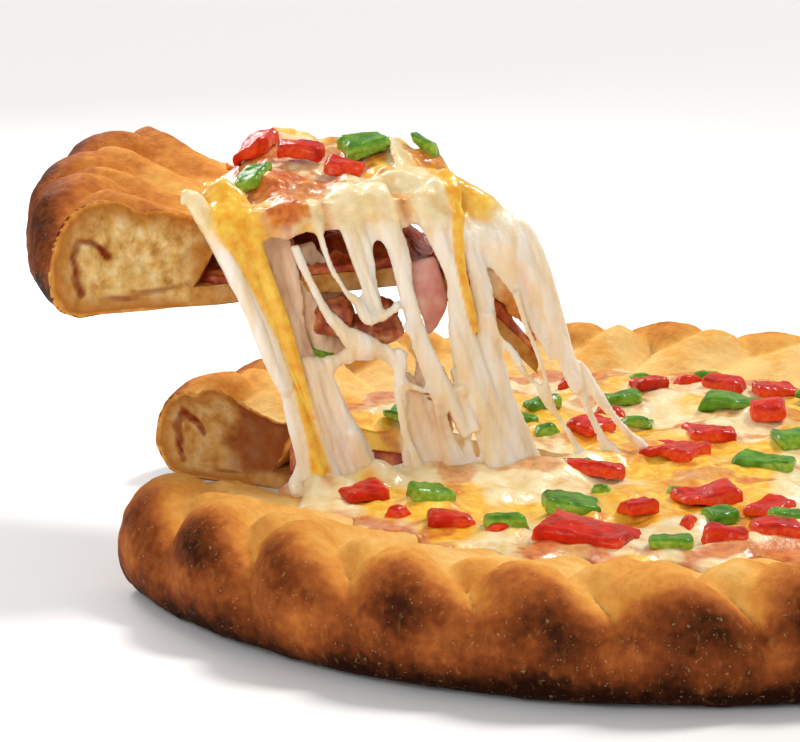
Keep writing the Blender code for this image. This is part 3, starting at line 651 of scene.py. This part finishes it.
class Shader:
    """A material's node tree, with short calls for the nodes used here."""

    def __init__(self, name, roughness, subsurface, radius, scale, coat=0.0, coat_roughness=0.1,
                 specular=0.5):
        self.material = bpy.data.materials.new(name)
        self.material.use_nodes = True
        self.nodes = self.material.node_tree.nodes
        self.links = self.material.node_tree.links
        self.bsdf = self.nodes["Principled BSDF"]
        self.bsdf.inputs["Roughness"].default_value = roughness
        self.bsdf.inputs["Subsurface Weight"].default_value = subsurface
        self.bsdf.inputs["Subsurface Radius"].default_value = radius
        self.bsdf.inputs["Subsurface Scale"].default_value = scale
        self.bsdf.inputs["Coat Weight"].default_value = coat
        self.bsdf.inputs["Coat Roughness"].default_value = coat_roughness
        self.bsdf.inputs["Specular IOR Level"].default_value = specular
        self.place = self.nodes.new("ShaderNodeTexCoord").outputs["Object"]

    def attribute(self, name):
        """A number stored on the mesh."""
        node = self.nodes.new("ShaderNodeAttribute")
        node.attribute_name = name
        return node.outputs["Fac"]

    def noise(self, size, detail, stretch=(1, 1, 1)):
        """Noise whose cells measure size metres."""
        turn = self.nodes.new("ShaderNodeMapping")
        turn.inputs["Scale"].default_value = stretch
        self.links.new(self.place, turn.inputs["Vector"])
        node = self.nodes.new("ShaderNodeTexNoise")
        node.inputs["Scale"].default_value = 1.0 / size
        node.inputs["Detail"].default_value = detail
        self.links.new(turn.outputs["Vector"], node.inputs["Vector"])
        return node.outputs["Fac"]

    def ramp(self, value, stops):
        """Colours or greys along a value: stops of (place, colour)."""
        node = self.nodes.new("ShaderNodeValToRGB")
        band = node.color_ramp
        while len(band.elements) < len(stops):
            band.elements.new(0.5)
        for element, (spot, colour) in zip(band.elements, stops):
            element.position = spot
            element.color = linear(colour)
        self.links.new(value, node.inputs["Fac"])
        return node.outputs["Color"]

    def grey(self, value, low, high):
        """0 where the value is below low, 1 above high."""
        node = self.nodes.new("ShaderNodeMapRange")
        node.inputs["From Min"].default_value = low
        node.inputs["From Max"].default_value = high
        self.links.new(value, node.inputs["Value"])
        return node.outputs["Result"]

    def math(self, operation, a, b):
        """One sum of two values or sockets."""
        node = self.nodes.new("ShaderNodeMath")
        node.operation = operation
        for socket, item in zip(node.inputs, (a, b)):
            if isinstance(item, (int, float)):
                socket.default_value = item
            else:
                self.links.new(item, socket)
        return node.outputs["Value"]

    def wobble(self, size, detail, amount):
        """Noise around zero: (noise - 0.5) times the amount."""
        return self.math("MULTIPLY", self.math("SUBTRACT", self.noise(size, detail), 0.5), amount)

    def mix(self, share, a, b):
        """A blend of two colours."""
        node = self.nodes.new("ShaderNodeMix")
        node.data_type = "RGBA"
        for socket, item in ((node.inputs[0], share), (node.inputs[6], a), (node.inputs[7], b)):
            if isinstance(item, (int, float)):
                socket.default_value = item
            elif isinstance(item, str):
                socket.default_value = linear(item)
            else:
                self.links.new(item, socket)
        return node.outputs[2]

    def finish(self, colour, height, strength, distance):
        """Join the colour and the bump to the shader."""
        self.links.new(colour, self.bsdf.inputs["Base Color"])
        bump = self.nodes.new("ShaderNodeBump")
        bump.inputs["Strength"].default_value = strength
        bump.inputs["Distance"].default_value = distance
        self.links.new(height, bump.inputs["Height"])
        self.links.new(bump.outputs["Normal"], self.bsdf.inputs["Normal"])
        return self.material


def crust_material():
    """Baked dough: cream in the folds, gold to dark brown outside, crumb where it is cut."""
    s = Shader("baked_dough", 0.6, subsurface=0.05, radius=(1.0, 0.4, 0.15), scale=0.003, specular=0.03)
    blotch = s.wobble(0.016, 5, 0.36)
    grain = s.wobble(0.0026, 4, 0.30)
    # The bake tone also carries painted shade on the outer wall, at its foot and at the near right.
    bake_and_shade = s.math("ADD", s.math("ADD", s.attribute("bake_and_shade"), blotch), grain)
    skin = s.ramp(bake_and_shade, ((0.0, "#eec67e"), (0.20, "#e5a954"), (0.38, "#d48a3c"), (0.56, "#ae602b"),
                         (0.74, "#7c3c1a"), (0.90, "#44200d"), (1.0, "#260f05")))
    streaks = s.grey(s.noise(0.0030, 4, stretch=(1.6, 1.6, 0.7)), 0.60, 0.72)
    skin = s.mix(s.math("MULTIPLY", streaks, 0.13), skin, "#dca25c")
    specks = s.grey(s.noise(0.0013, 1.0), 0.68, 0.74)
    skin = s.mix(s.math("MULTIPLY", specks, 0.20), skin, "#efc98d")
    crumb = s.ramp(s.noise(0.0050, 5),
                   ((0.28, "#a06c34"), (0.40, "#c8974f"), (0.54, "#deb672"), (0.70, "#ead09a")))
    ragged = s.math("ADD", s.attribute("cut"), s.wobble(0.004, 3, 0.10))
    crust_side = s.mix(s.grey(ragged, 0.10, 0.46), "#b36f2c", crumb)
    # The sauce tone also carries painted shade beside the well on the pizza's cut faces.
    inside = s.mix(s.attribute("sauce_and_shade"), crust_side, "#7c260c")
    colour = s.mix(s.grey(ragged, 0.035, 0.10), skin, inside)
    height = s.math("ADD", s.noise(0.0011, 2.0), s.math("MULTIPLY", s.noise(0.0040, 3), 1.2))
    return s.finish(colour, height, 0.45, 0.0007)


def cheese_material():
    """Melted cheese: cream, with yellow, browned and red-oiled areas given by the mesh. On hanging strands
    the whiter tone is partly paler stretched cheese and partly painted light, and on strands further back
    the tan tone is partly thin sheets' colour and partly painted shade, as is the browned tone there.
    """
    s = Shader("melted_cheese", 0.30, subsurface=0.18, radius=(1.0, 0.62, 0.35), scale=0.003,
               coat=0.35, coat_roughness=0.12, specular=0.3)
    base = s.ramp(s.noise(0.006, 3), ((0.3, "#ebc984"), (0.6, "#f8e6b8")))
    yellow = s.ramp(s.noise(0.004, 3), ((0.3, "#f0a41a"), (0.65, "#fdd24c")))
    toast_and_shade = s.ramp(s.noise(0.003, 4), ((0.3, "#b04f12"), (0.6, "#e08c30")))
    oil = s.ramp(s.noise(0.003, 4), ((0.3, "#b23c0c"), (0.65, "#e27c26")))
    threads = s.ramp(s.noise(0.0045, 3, stretch=(1, 1, 0.12)), ((0.35, "#f3dfb8"), (0.6, "#fffaf0")))
    # The whiter tone on hanging strands is partly paler stretched cheese and partly painted light.
    base = s.mix(s.attribute("milk_and_light"), base, threads)
    film_and_shade = s.ramp(s.noise(0.0060, 4, stretch=(1, 1, 0.3)),
                  ((0.3, "#c68a5c"), (0.46, "#e4b98e"), (0.62, "#f6dfc0")))
    # The tan tone on strands further back is partly the colour of thin sheets and partly painted shade.
    base = s.mix(s.attribute("tan_and_shade"), base, film_and_shade)
    colour = s.mix(s.attribute("yellow"), base, yellow)
    # The browned tone is toasting on top and, on hanging strands further back, painted shade.
    colour = s.mix(s.attribute("toast_and_shade"), colour, toast_and_shade)
    colour = s.mix(s.attribute("oil"), colour, oil)
    height = s.math("ADD", s.noise(0.0030, 4), s.math("MULTIPLY", s.noise(0.0012, 3), 0.5))
    return s.finish(colour, height, 0.50, 0.0009)


def filling_material():
    """Tomato and meat filling."""
    s = Shader("tomato_filling", 0.45, subsurface=0.1, radius=(1.0, 0.3, 0.15), scale=0.003, coat=0.2,
               coat_roughness=0.3)
    colour = s.ramp(s.noise(0.006, 5), ((0.25, "#4a1408"), (0.42, "#96300e"), (0.56, "#c2561f"),
                                        (0.75, "#dc9a52")))
    return s.finish(colour, s.noise(0.0025, 4), 0.6, 0.0012)


def pepper_material(name, dark, bright, flesh):
    """Pepper: glossy skin, with paler wet flesh on the cut sides."""
    s = Shader(name, 0.30, subsurface=0.08, radius=(1.0, 0.4, 0.2), scale=0.002, coat=0.22,
               specular=0.12)
    skin = s.ramp(s.noise(0.006, 3), ((0.3, dark), (0.7, bright)))
    wet = s.ramp(s.noise(0.0016, 3), ((0.3, bright), (0.7, flesh)))
    colour = s.mix(s.attribute("flesh"), skin, wet)
    return s.finish(colour, s.noise(0.0014, 3), 0.30, 0.0006)


def meat_material(name, stops, size):
    """Cooked meat with fat in it."""
    s = Shader(name, 0.4, subsurface=0.15, radius=(1.0, 0.4, 0.25), scale=0.003, coat=0.35,
               coat_roughness=0.2)
    return s.finish(s.ramp(s.noise(size, 5), stops), s.noise(size * 0.5, 4), 0.5, 0.0009)


# Pieces

def notch_edges():
    """Azimuths of the notch's two sides, seen from its tip: near first, far one turn on."""
    return SLICE_AZIMUTH + NOTCH_HALF_ANGLE, SLICE_AZIMUTH - NOTCH_HALF_ANGLE + 360


def notch_tip():
    """The point of the notch."""
    return NOTCH_TIP_RADIUS * directions(SLICE_AZIMUTH)[0][:2]


def tint_cheese(piece):
    """Lay out yellow, browned and oily areas over the cheese by smooth noise."""
    places = vertex_places(piece)
    level = places * np.array([1, 1, 0.4])
    patch = fractal(level, 0.034, 5)
    fleck = fractal(level, 0.014, 25)
    radius = np.hypot(places[:, 0], places[:, 1])
    yellow = smooth((patch + 0.12) / 0.28)
    toast_and_shade = 0.7 * smooth((fleck - 0.24) / 0.34)
    near_rim = smooth((radius - 0.100) / 0.018)
    oil = smooth((fractal(level, 0.018, 45) - 0.50 + 0.62 * near_rim) / 0.25) * 0.8
    set_tone(piece, "yellow", yellow)
    set_tone(piece, "toast_and_shade", toast_and_shade)
    set_tone(piece, "oil", oil)


def melted_edge(azimuth):
    """Where the cheese ends on the dough: the dough's scallops, moved in and out by noise."""
    turn = np.radians(azimuth)
    round_edge = 0.12 * np.stack([np.cos(turn), np.sin(turn), 0 * turn], axis=1)
    return well_radius(azimuth) + 0.0019 + 0.0015 * fractal(round_edge, 0.011, 27, 2)


def make_pizza():
    """The seven eighths that stay down: crust, filling and cheese."""
    near, far = notch_edges()
    tip = notch_tip()
    crust = build_crust("pizza_crust_baked", tip, near, far, 560, False, 3, 0.0)
    settle(crust, "crust", "pizza_crust")
    shares = np.linspace(0, 1, 110) ** 0.8
    grid = layer_grid(tip, near, far, 420, shares, cheese_level, flat_at(CHEESE_BOTTOM + 0.0006),
                      melted_edge)
    rows = grid.shape[0]
    upper = grid[rows // 2:].reshape(-1, 3)
    radius = np.hypot(upper[:, 0], upper[:, 1])
    flat = upper * np.array([1, 1, 0])
    upper[:, 2] += (0.0008 * fractal(flat, 0.022, 63, 2) + 0.0005 * fractal(flat, 0.006, 65, 3)) * smooth(
        (0.118 - radius) / 0.010)
    upper[:, 2] -= 0.0012 * smooth((radius - melted_edge(azimuths(upper)) + 0.0035) / 0.0035)
    edge = smooth((0.120 - radius) / 0.020)
    folds = 1 - np.abs(fractal(flat, 0.030, 61, 3))
    upper[:, 2] += edge * (0.0018 * (folds - 0.75) + 0.0008 * fractal(flat, 0.010, 71, 3))
    for points, _, forward, _ in STRANDS.values():
        path = strand_path(points, 30)
        foot = path[path[:, 1] < 0.031]
        if len(foot):
            spot = curtain_places(foot[-1, 0], foot[-1, 1], foot[-1, 3] + forward * MM)
            gap = np.hypot(flat[:, 0] - spot[0], flat[:, 1] - spot[1])
            upper[:, 2] += 0.0022 * np.exp(-(gap / (0.003 + 0.5 * foot[-1, 2])) ** 2)
    for low, high in dice_boxes():
        middle = (low + high) / 2
        half = (high - low) / 2
        gap = np.maximum(np.abs(flat[:, :2] - middle[:2]) - half[:2] * 0.8, 0)
        upper[:, 2] += 0.0012 * np.exp(-(np.hypot(gap[:, 0], gap[:, 1]) / 0.003) ** 2)
    grid[rows // 2:] = upper.reshape(grid[rows // 2:].shape)
    cheese = build_layer("pizza_cheese_melted", grid)
    tint_cheese(cheese)
    settle(cheese, "cheese", "pizza_cheese")
    grid = layer_grid(tip, near, far, 300, np.linspace(0, 1, 60), flat_at(CHEESE_BOTTOM + 0.0004),
                      flat_at(FLOOR_TOP + 0.0001), filling_edge)
    filling = build_layer("pizza_filling_cooked", grid)
    settle(filling, "filling", "pizza_filling")


def dice_boxes():
    """Lowest and highest corners of every pepper die on the pizza that stays down."""
    names = [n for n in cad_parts
             if n.startswith(("red_pepper_", "green_pepper_")) and "held" not in n]
    return [tuple(np.array(corner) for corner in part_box(n)) for n in names]


def make_slice_body():
    """Crust and filling of the lifted slice."""
    low = SLICE_AZIMUTH - SLICE_HALF_ANGLE
    high = SLICE_AZIMUTH + SLICE_HALF_ANGLE
    crust = build_crust("slice_crust_baked", (0.0, 0.0), low, high, 130, True, 23, 0.15)
    settle(crust, "crust", "slice_crust")

    def lumps(x, y):
        spots = np.stack([x, y, 0 * x], axis=1)
        return SLICE_FILLING_TOP + 0.0038 * np.maximum(0, fractal(spots, 0.008, 31, 3) + 0.15)

    grid = layer_grid((0.0, 0.0), low + 0.2, high - 0.2, 110, np.linspace(0, 1, 90), lumps,
                      flat_at(FLOOR_TOP + 0.0001), filling_edge)
    filling = build_layer("slice_filling_cooked", lift_points(grid.reshape(-1, 3)).reshape(grid.shape))
    settle(filling, "filling", "slice_filling")


def slice_sheet():
    """The slice's sheet of cheese: a layer that laps over the near cut, lifted."""
    low = SLICE_AZIMUTH - SLICE_HALF_ANGLE
    high = SLICE_AZIMUTH + SLICE_HALF_ANGLE + CHEESE_LIP_ANGLE

    def bottom(x, y):
        tip = np.maximum(0, 1 - np.hypot(x, y) / 0.040)
        azimuth = np.degrees(np.arctan2(y, x)) % 360
        drips = 0.5 + 0.5 * fractal(np.stack([np.hypot(x, y), 0 * x, 0 * x], axis=1), 0.011, 83, 2)
        lip = smooth((azimuth - 204.0) / 5.0) * smooth(np.hypot(x, y) / 0.03)
        return SLICE_CHEESE_BOTTOM - TIP_CHEESE_DROP * tip + 0.75 * pile(x, y) - 0.0035 * lip * drips

    def top(x, y):
        flat = np.stack([x, y, 0 * x], axis=1)
        lumps = sum(
            h * MM * np.exp(-(((x - u * MM) ** 2 + (y - v * MM) ** 2) / (0.7 * r * MM) ** 2) ** 1.5)
            for u, v, r, h in LUMPS)
        return cheese_level(x, y) + pile(x, y) - 0.0008 + lumps + 0.0012 * fractal(flat, 0.011, 81, 3)

    grid = layer_grid((0.0, 0.0), low, high, 150, np.linspace(0, 1, 140), top, bottom,
                      lambda a: well_radius(a) - 0.0006)
    return build_layer("slice_sheet", lift_points(grid.reshape(-1, 3)).reshape(grid.shape))


def curtain_places(along, height, forward):
    """Places in the curtain of strands, given in metres along the cut, up and forward."""
    outward, nearer = directions(SLICE_AZIMUTH + SLICE_HALF_ANGLE)
    lean = CURTAIN_FOOT + CURTAIN_LEAN * (height - CHEESE_TOP) + forward
    up = np.stack([0 * height, 0 * height, height], axis=-1)
    return along[..., None] * outward + lean[..., None] * nearer + up


def strand_path(points, samples=70):
    """A smooth curve through a strand's points: along, height, width and forward, in metres."""
    return curve_through(np.array([(*p, 0)[:4] for p in points]) * MM, samples)


def strand_piece(name, points, flatness, forward, sides=20):
    """One strand: an ellipse carried along the strand's path, in the curtain."""
    path = strand_path(points)
    samples = len(path)
    way = np.gradient(path[:, :2], axis=0)
    way /= np.linalg.norm(way, axis=1)[:, None] + 1e-9
    cross = np.stack([-way[:, 1], way[:, 0]], axis=1)
    half = np.maximum(path[:, 2], THINNEST_STRAND) / 2
    deep = np.maximum(half * flatness, 0.0010)
    angle = np.linspace(0, 2 * np.pi, sides, endpoint=False)
    spread = half[:, None] * np.cos(angle)[None]
    depth = deep[:, None] * np.sin(angle)[None] + forward * MM + path[:, 3:4]
    body = curtain_places(path[:, 0:1] + cross[:, 0:1] * spread,
                          path[:, 1:2] + cross[:, 1:2] * spread, depth)
    start = body[0].mean(axis=0)
    end = body[-1].mean(axis=0)
    count = samples * sides
    last = count - sides
    faces = grid_faces(samples, sides, wrap=True).tolist()
    faces += [[(k + 1) % sides, k, count] for k in range(sides)]
    faces += [[last + k, last + (k + 1) % sides, count + 1] for k in range(sides)]
    return merge_and_face_out(make_piece(name, np.vstack([body.reshape(-1, 3), start, end]), faces))


def nearest_strand(places):
    """For every place: how yellow and how far back its strands are, and how many half widths off."""
    middles = []
    sizes = []
    yellows = []
    backs = []
    for points, flatness, forward, yellow in STRANDS.values():
        path = strand_path(points, 36)
        middles.append(curtain_places(path[:, 0], path[:, 1], path[:, 3] + forward * MM))
        sizes.append(np.maximum(path[:, 2], THINNEST_SHADE) / 2)
        yellows.append(np.full(len(path), yellow))
        backs.append(np.full(len(path), min(1.0, max(0.0, -forward / 4))))
    middles = np.vstack(middles).astype(np.float32)
    sizes = np.concatenate(sizes).astype(np.float32)
    yellows = np.concatenate(yellows).astype(np.float32)
    backs = np.concatenate(backs).astype(np.float32)
    shade = np.zeros(len(places))
    back = np.zeros(len(places))
    gap = np.zeros(len(places))
    for first in range(0, len(places), 4000):
        part = places[first:first + 4000].astype(np.float32)
        far = np.sqrt(np.maximum((part ** 2).sum(1)[:, None] + (middles ** 2).sum(1)[None]
                                 - 2 * part @ middles.T, 0)) / (sizes[None] + 0.001)
        share = np.exp(-7 * (far - far.min(axis=1)[:, None]))
        shade[first:first + 4000] = share @ yellows / share.sum(axis=1)
        back[first:first + 4000] = share @ backs / share.sum(axis=1)
        gap[first:first + 4000] = far.min(axis=1)
    return shade, back, gap


def join(pieces, name):
    """Several meshes as one object."""
    shape = bmesh.new()
    for piece in pieces:
        shape.from_mesh(piece.data)
        bpy.data.objects.remove(piece, do_unlink=True)
    mesh = bpy.data.meshes.new(name)
    shape.to_mesh(mesh)
    shape.free()
    whole = bpy.data.objects.new(name, mesh)
    bpy.context.scene.collection.objects.link(whole)
    return whole


def remesh(piece, voxel, relax):
    """Melt overlapping meshes into one skin of small squares, and smooth it."""
    melt = piece.modifiers.new("melt", "REMESH")
    melt.mode = "VOXEL"
    melt.voxel_size = voxel
    soften = piece.modifiers.new("soften", "SMOOTH")
    soften.factor = 0.5
    soften.iterations = relax
    graph = bpy.context.evaluated_depsgraph_get()
    graph.update()
    mesh = bpy.data.meshes.new_from_object(piece.evaluated_get(graph))
    piece.modifiers.clear()
    piece.data = mesh
    mesh.shade_smooth()


def make_slice_cheese():
    """The slice's cheese with all its strands, melted into one skin."""
    parts = [slice_sheet()]
    for name, (points, flatness, forward, _) in STRANDS.items():
        parts.append(strand_piece("strand_" + name, points, flatness, forward))
    cheese = join(parts, "slice_cheese_melted")
    remesh(cheese, CHEESE_VOXEL, 3)
    places = vertex_places(cheese)
    normals = vertex_normals(cheese)
    along, nearer = (places @ way for way in directions(SLICE_AZIMUTH + SLICE_HALF_ANGLE))
    height = places[:, 2]
    below = smooth((along - 0.060) / 0.010) * smooth((0.104 - height) / 0.006)
    hanging = smooth((0.112 - height) / 0.010) * np.maximum(smooth((nearer + 0.0125) / 0.003), below)
    fibre = np.stack([along - 0.33 * height, 0 * along, height * 0.10], axis=1)
    ridges = 0.0010 * fractal(fibre, 0.0034, 91, 3)
    lumps = 0.0010 * fractal(places, 0.0075, 93, 3)
    forward = nearer - CURTAIN_FOOT - CURTAIN_LEAN * (height - CHEESE_TOP)
    behind = smooth((-0.0035 - forward) / 0.002)
    folds = 0.0017 * fractal(places, 0.009, 94, 3) + 0.0008
    relief = hanging * (ridges * (1 - behind) + folds * behind) + (1 - hanging) * lumps
    moved = places + normals * relief[:, None]
    low = height < CHEESE_TOP
    moved[low] = places[low]
    set_places(cheese, keep_in_box(moved))
    shade, back, gap = nearest_strand(places)
    streaks = 0.5 + 0.5 * fractal(fibre, 0.0040, 95, 3)
    stripe = smooth(0.5 + 1.6 * (shade - 0.5) + 0.5 * (streaks - 0.5))
    on_top = (1 - hanging) * smooth((gap - 0.7) / 0.8)
    patches = smooth((fractal(places, 0.024, 97, 4) + 0.16) / 0.26)
    set_tone(cheese, "yellow", np.maximum(stripe * (1 - on_top), on_top * patches))
    fleck = fractal(places, 0.013, 99, 4)
    under = smooth((0.5 - normals[:, 2]) / 0.5)
    # Whiter hanging strands: partly paler stretched cheese, partly painted light.
    set_tone(cheese, "milk_and_light", hanging * (0.85 + 0.3 * (streaks - 0.5)))
    # Tan on strands further back: partly the colour of thin sheets, partly painted shade.
    set_tone(cheese, "tan_and_shade", hanging * smooth(back + 0.5 * (streaks - 0.5)) * 0.85)
    # Browned patches on top are toasting; on hanging strands that lie behind they are painted shade.
    set_tone(cheese, "toast_and_shade", np.maximum(on_top * smooth((fleck + 0.14) / 0.35) * 0.9,
                                         hanging * behind * smooth((fleck + 0.05) / 0.4) * 0.6))
    set_tone(cheese, "oil", on_top * smooth((fractal(places, 0.016, 101, 4) - 0.16 + 0.25 * under
                                             + 0.35 * smooth((along - 0.104) / 0.012)) / 0.25) * 0.8)
    settle(cheese, "cheese", "slice_cheese")


def node_copy(node, name):
    """A welded copy of a CAD node's mesh, at its place."""
    piece = bpy.data.objects.new(name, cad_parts[node].data.copy())
    bpy.context.scene.collection.objects.link(piece)
    piece.data.materials.clear()
    return merge_and_face_out(piece)


def dice_block(x, y, length, width, turn, name):
    """A small extra die: a block with a raised middle, lying on the cheese."""
    side = np.linspace(-1, 1, DICE_GRID)
    u, v = np.meshgrid(side, side, indexing="ij")
    rounding = (1 - np.abs(u) ** 4) * (1 - np.abs(v) ** 4)
    a = u * length * MM / 2
    b = v * width * MM / 2
    c, s = math.cos(math.radians(turn)), math.sin(math.radians(turn))
    px = x * MM + c * a - s * b
    py = y * MM + s * a + c * b
    base = float(cheese_level(np.array([x * MM]), np.array([y * MM]))[0])
    top = np.stack([px, py, base + 0.0006 + 0.0026 * rounding], axis=-1).reshape(-1, 3)
    under = np.stack([px, py, np.full_like(px, base - 0.0012)], axis=-1).reshape(-1, 3)
    flat = grid_faces(DICE_GRID, DICE_GRID)
    index = np.arange(DICE_GRID ** 2).reshape(DICE_GRID, DICE_GRID)
    here = np.concatenate([index[0, :-1], index[:-1, -1], index[-1, :0:-1], index[:0:-1, 0]])
    then = np.roll(here, -1)
    walls = np.stack([here, then, then + index.size, here + index.size], axis=1)
    faces = np.vstack([flat, (flat + index.size)[:, ::-1], walls])
    return merge_and_face_out(make_piece(name, np.vstack([top, under]), faces))


def make_peppers(colour, extra):
    """All dice of one colour: the CAD's dice and a few small bits, softened into one skin."""
    names = sorted(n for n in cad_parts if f"{colour}_pepper" in n)
    parts = [node_copy(n, n + "_copy") for n in names]
    parts += [dice_block(*row, f"{colour}_bit_{k}") for k, row in enumerate(extra)]
    peppers = join(parts, f"{colour}_pepper_dice")
    remesh(peppers, PEPPER_VOXEL, 1)
    places = vertex_places(peppers)
    normals = vertex_normals(peppers)
    bend = 0.0004 * fractal(places, 0.009, 41, 2) + 0.0003 * fractal(places, 0.0025, 43, 2)
    shift = np.stack([0.0019 * noise(places, 0.009, 47), 0.0019 * noise(places, 0.009, 48),
                      0.0012 * noise(places, 0.010, 49)], axis=1)
    set_places(peppers, keep_in_box(places + shift + normals * bend[:, None]))
    flesh = smooth((0.80 - normals[:, 2]) / 0.35) * smooth((fractal(places, 0.012, 45, 2) + 0.5) / 0.5)
    set_tone(peppers, "flesh", flesh)
    settle(peppers, f"{colour}_pepper", *names)


def make_meats():
    """Sausage and ham in the strands, swollen and roughened from their solids."""
    for kind, nodes in (("sausage", [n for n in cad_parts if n.startswith("sausage")]),
                        ("ham", ["ham_slab"])):
        meat = join([node_copy(n, n + "_copy") for n in nodes], kind + "_cooked")
        remesh(meat, MEAT_VOXEL, 2)
        places = vertex_places(meat)
        normals = vertex_normals(meat)
        outward, nearer = directions(SLICE_AZIMUTH + SLICE_HALF_ANGLE)
        if kind == "ham":
            aside = (places - places.mean(axis=0)) @ outward
            curl = 0.0034 * fractal(places * np.array([1, 1, 0.5]), 0.010, 53, 2)
            full = smooth((places[:, 2] - places[:, 2].min()) / 0.012)
            moved = places + np.outer((0.95 * full - 0.55) * aside, outward) + np.outer(curl, nearer)
        else:
            moved = places + normals * (0.0021 * fractal(places, 0.006, 51, 4) + 0.0018)[:, None]
        set_places(meat, keep_in_box(moved))
        settle(meat, kind, *nodes)


def make_camera():
    """The photograph's view."""
    data = bpy.data.cameras.new("camera")
    data.lens = CAMERA_LENS
    data.sensor_width = 36.0
    data.clip_start = 0.01
    camera = bpy.data.objects.new("camera", data)
    camera.location = CAMERA_PLACE
    camera.rotation_euler = (math.radians(90 - CAMERA_DOWN), 0, math.radians(CAMERA_LEFT))
    bpy.context.scene.collection.objects.link(camera)
    bpy.context.scene.camera = camera


def area_light(name, place, size, power):
    """A square light that faces the pizza."""
    data = bpy.data.lights.new(name, "AREA")
    data.size = size
    data.energy = power
    lamp = bpy.data.objects.new(name, data)
    lamp.location = place
    way = np.array([0, 0, 0.04]) - np.array(place)
    flat = math.hypot(way[0], way[1])
    lamp.rotation_euler = (math.atan2(flat, -way[2]), 0, math.atan2(-way[0], way[1]))
    bpy.context.scene.collection.objects.link(lamp)


def make_studio():
    """A pale floor, a white surround, a sun, and soft lights at the left in front and behind."""
    bpy.ops.mesh.primitive_plane_add(size=12, location=(0, 0, -0.0002))
    floor = bpy.context.object
    floor.name = "floor"
    paint = bpy.data.materials.new("pale_floor")
    paint.use_nodes = True
    surface = paint.node_tree.nodes["Principled BSDF"]
    surface.inputs["Base Color"].default_value = (0.92, 0.92, 0.92, 1)
    surface.inputs["Roughness"].default_value = 0.7
    floor.data.materials.append(paint)
    world = bpy.data.worlds.new("studio")
    bpy.context.scene.world = world
    world.use_nodes = True
    sky = world.node_tree.nodes["Background"]
    sky.inputs["Color"].default_value = (1, 1, 1, 1)
    sky.inputs["Strength"].default_value = 0.46
    sun = bpy.data.lights.new("sun", "SUN")
    sun.energy = 2.1
    sun.angle = math.radians(14)
    sun.color = (1.0, 0.97, 0.92)
    lamp = bpy.data.objects.new("sun", sun)
    lamp.rotation_euler = (math.radians(-24), math.radians(28), 0)
    bpy.context.scene.collection.objects.link(lamp)
    area_light("front", (-0.30, -0.85, 0.45), 0.4, 2.4)
    area_light("back", (-0.50, 0.55, 0.55), 0.4, 4.0)
    bpy.context.scene.view_settings.view_transform = "Standard"


MATERIALS = {
    "crust": crust_material(),
    "cheese": cheese_material(),
    "filling": filling_material(),
    "red_pepper": pepper_material("red_pepper_flesh", "#a81204", "#dd2c0c", "#ee5e2c"),
    "green_pepper": pepper_material("green_pepper_flesh", "#2f6508", "#6aa01f", "#a9c94c"),
    "sausage": meat_material("cooked_sausage",
                             ((0.3, "#6b2410"), (0.5, "#ac4f28"), (0.7, "#dc9a64")), 0.005),
    "ham": meat_material("cooked_ham", ((0.3, "#cf7a6c"), (0.52, "#e5a093"), (0.75, "#f5cfbe")), 0.009),
}

make_pizza()
make_slice_body()
make_slice_cheese()
make_peppers("red", LOOSE_RED)
make_peppers("green", LOOSE_GREEN)
make_meats()
make_camera()
make_studio()
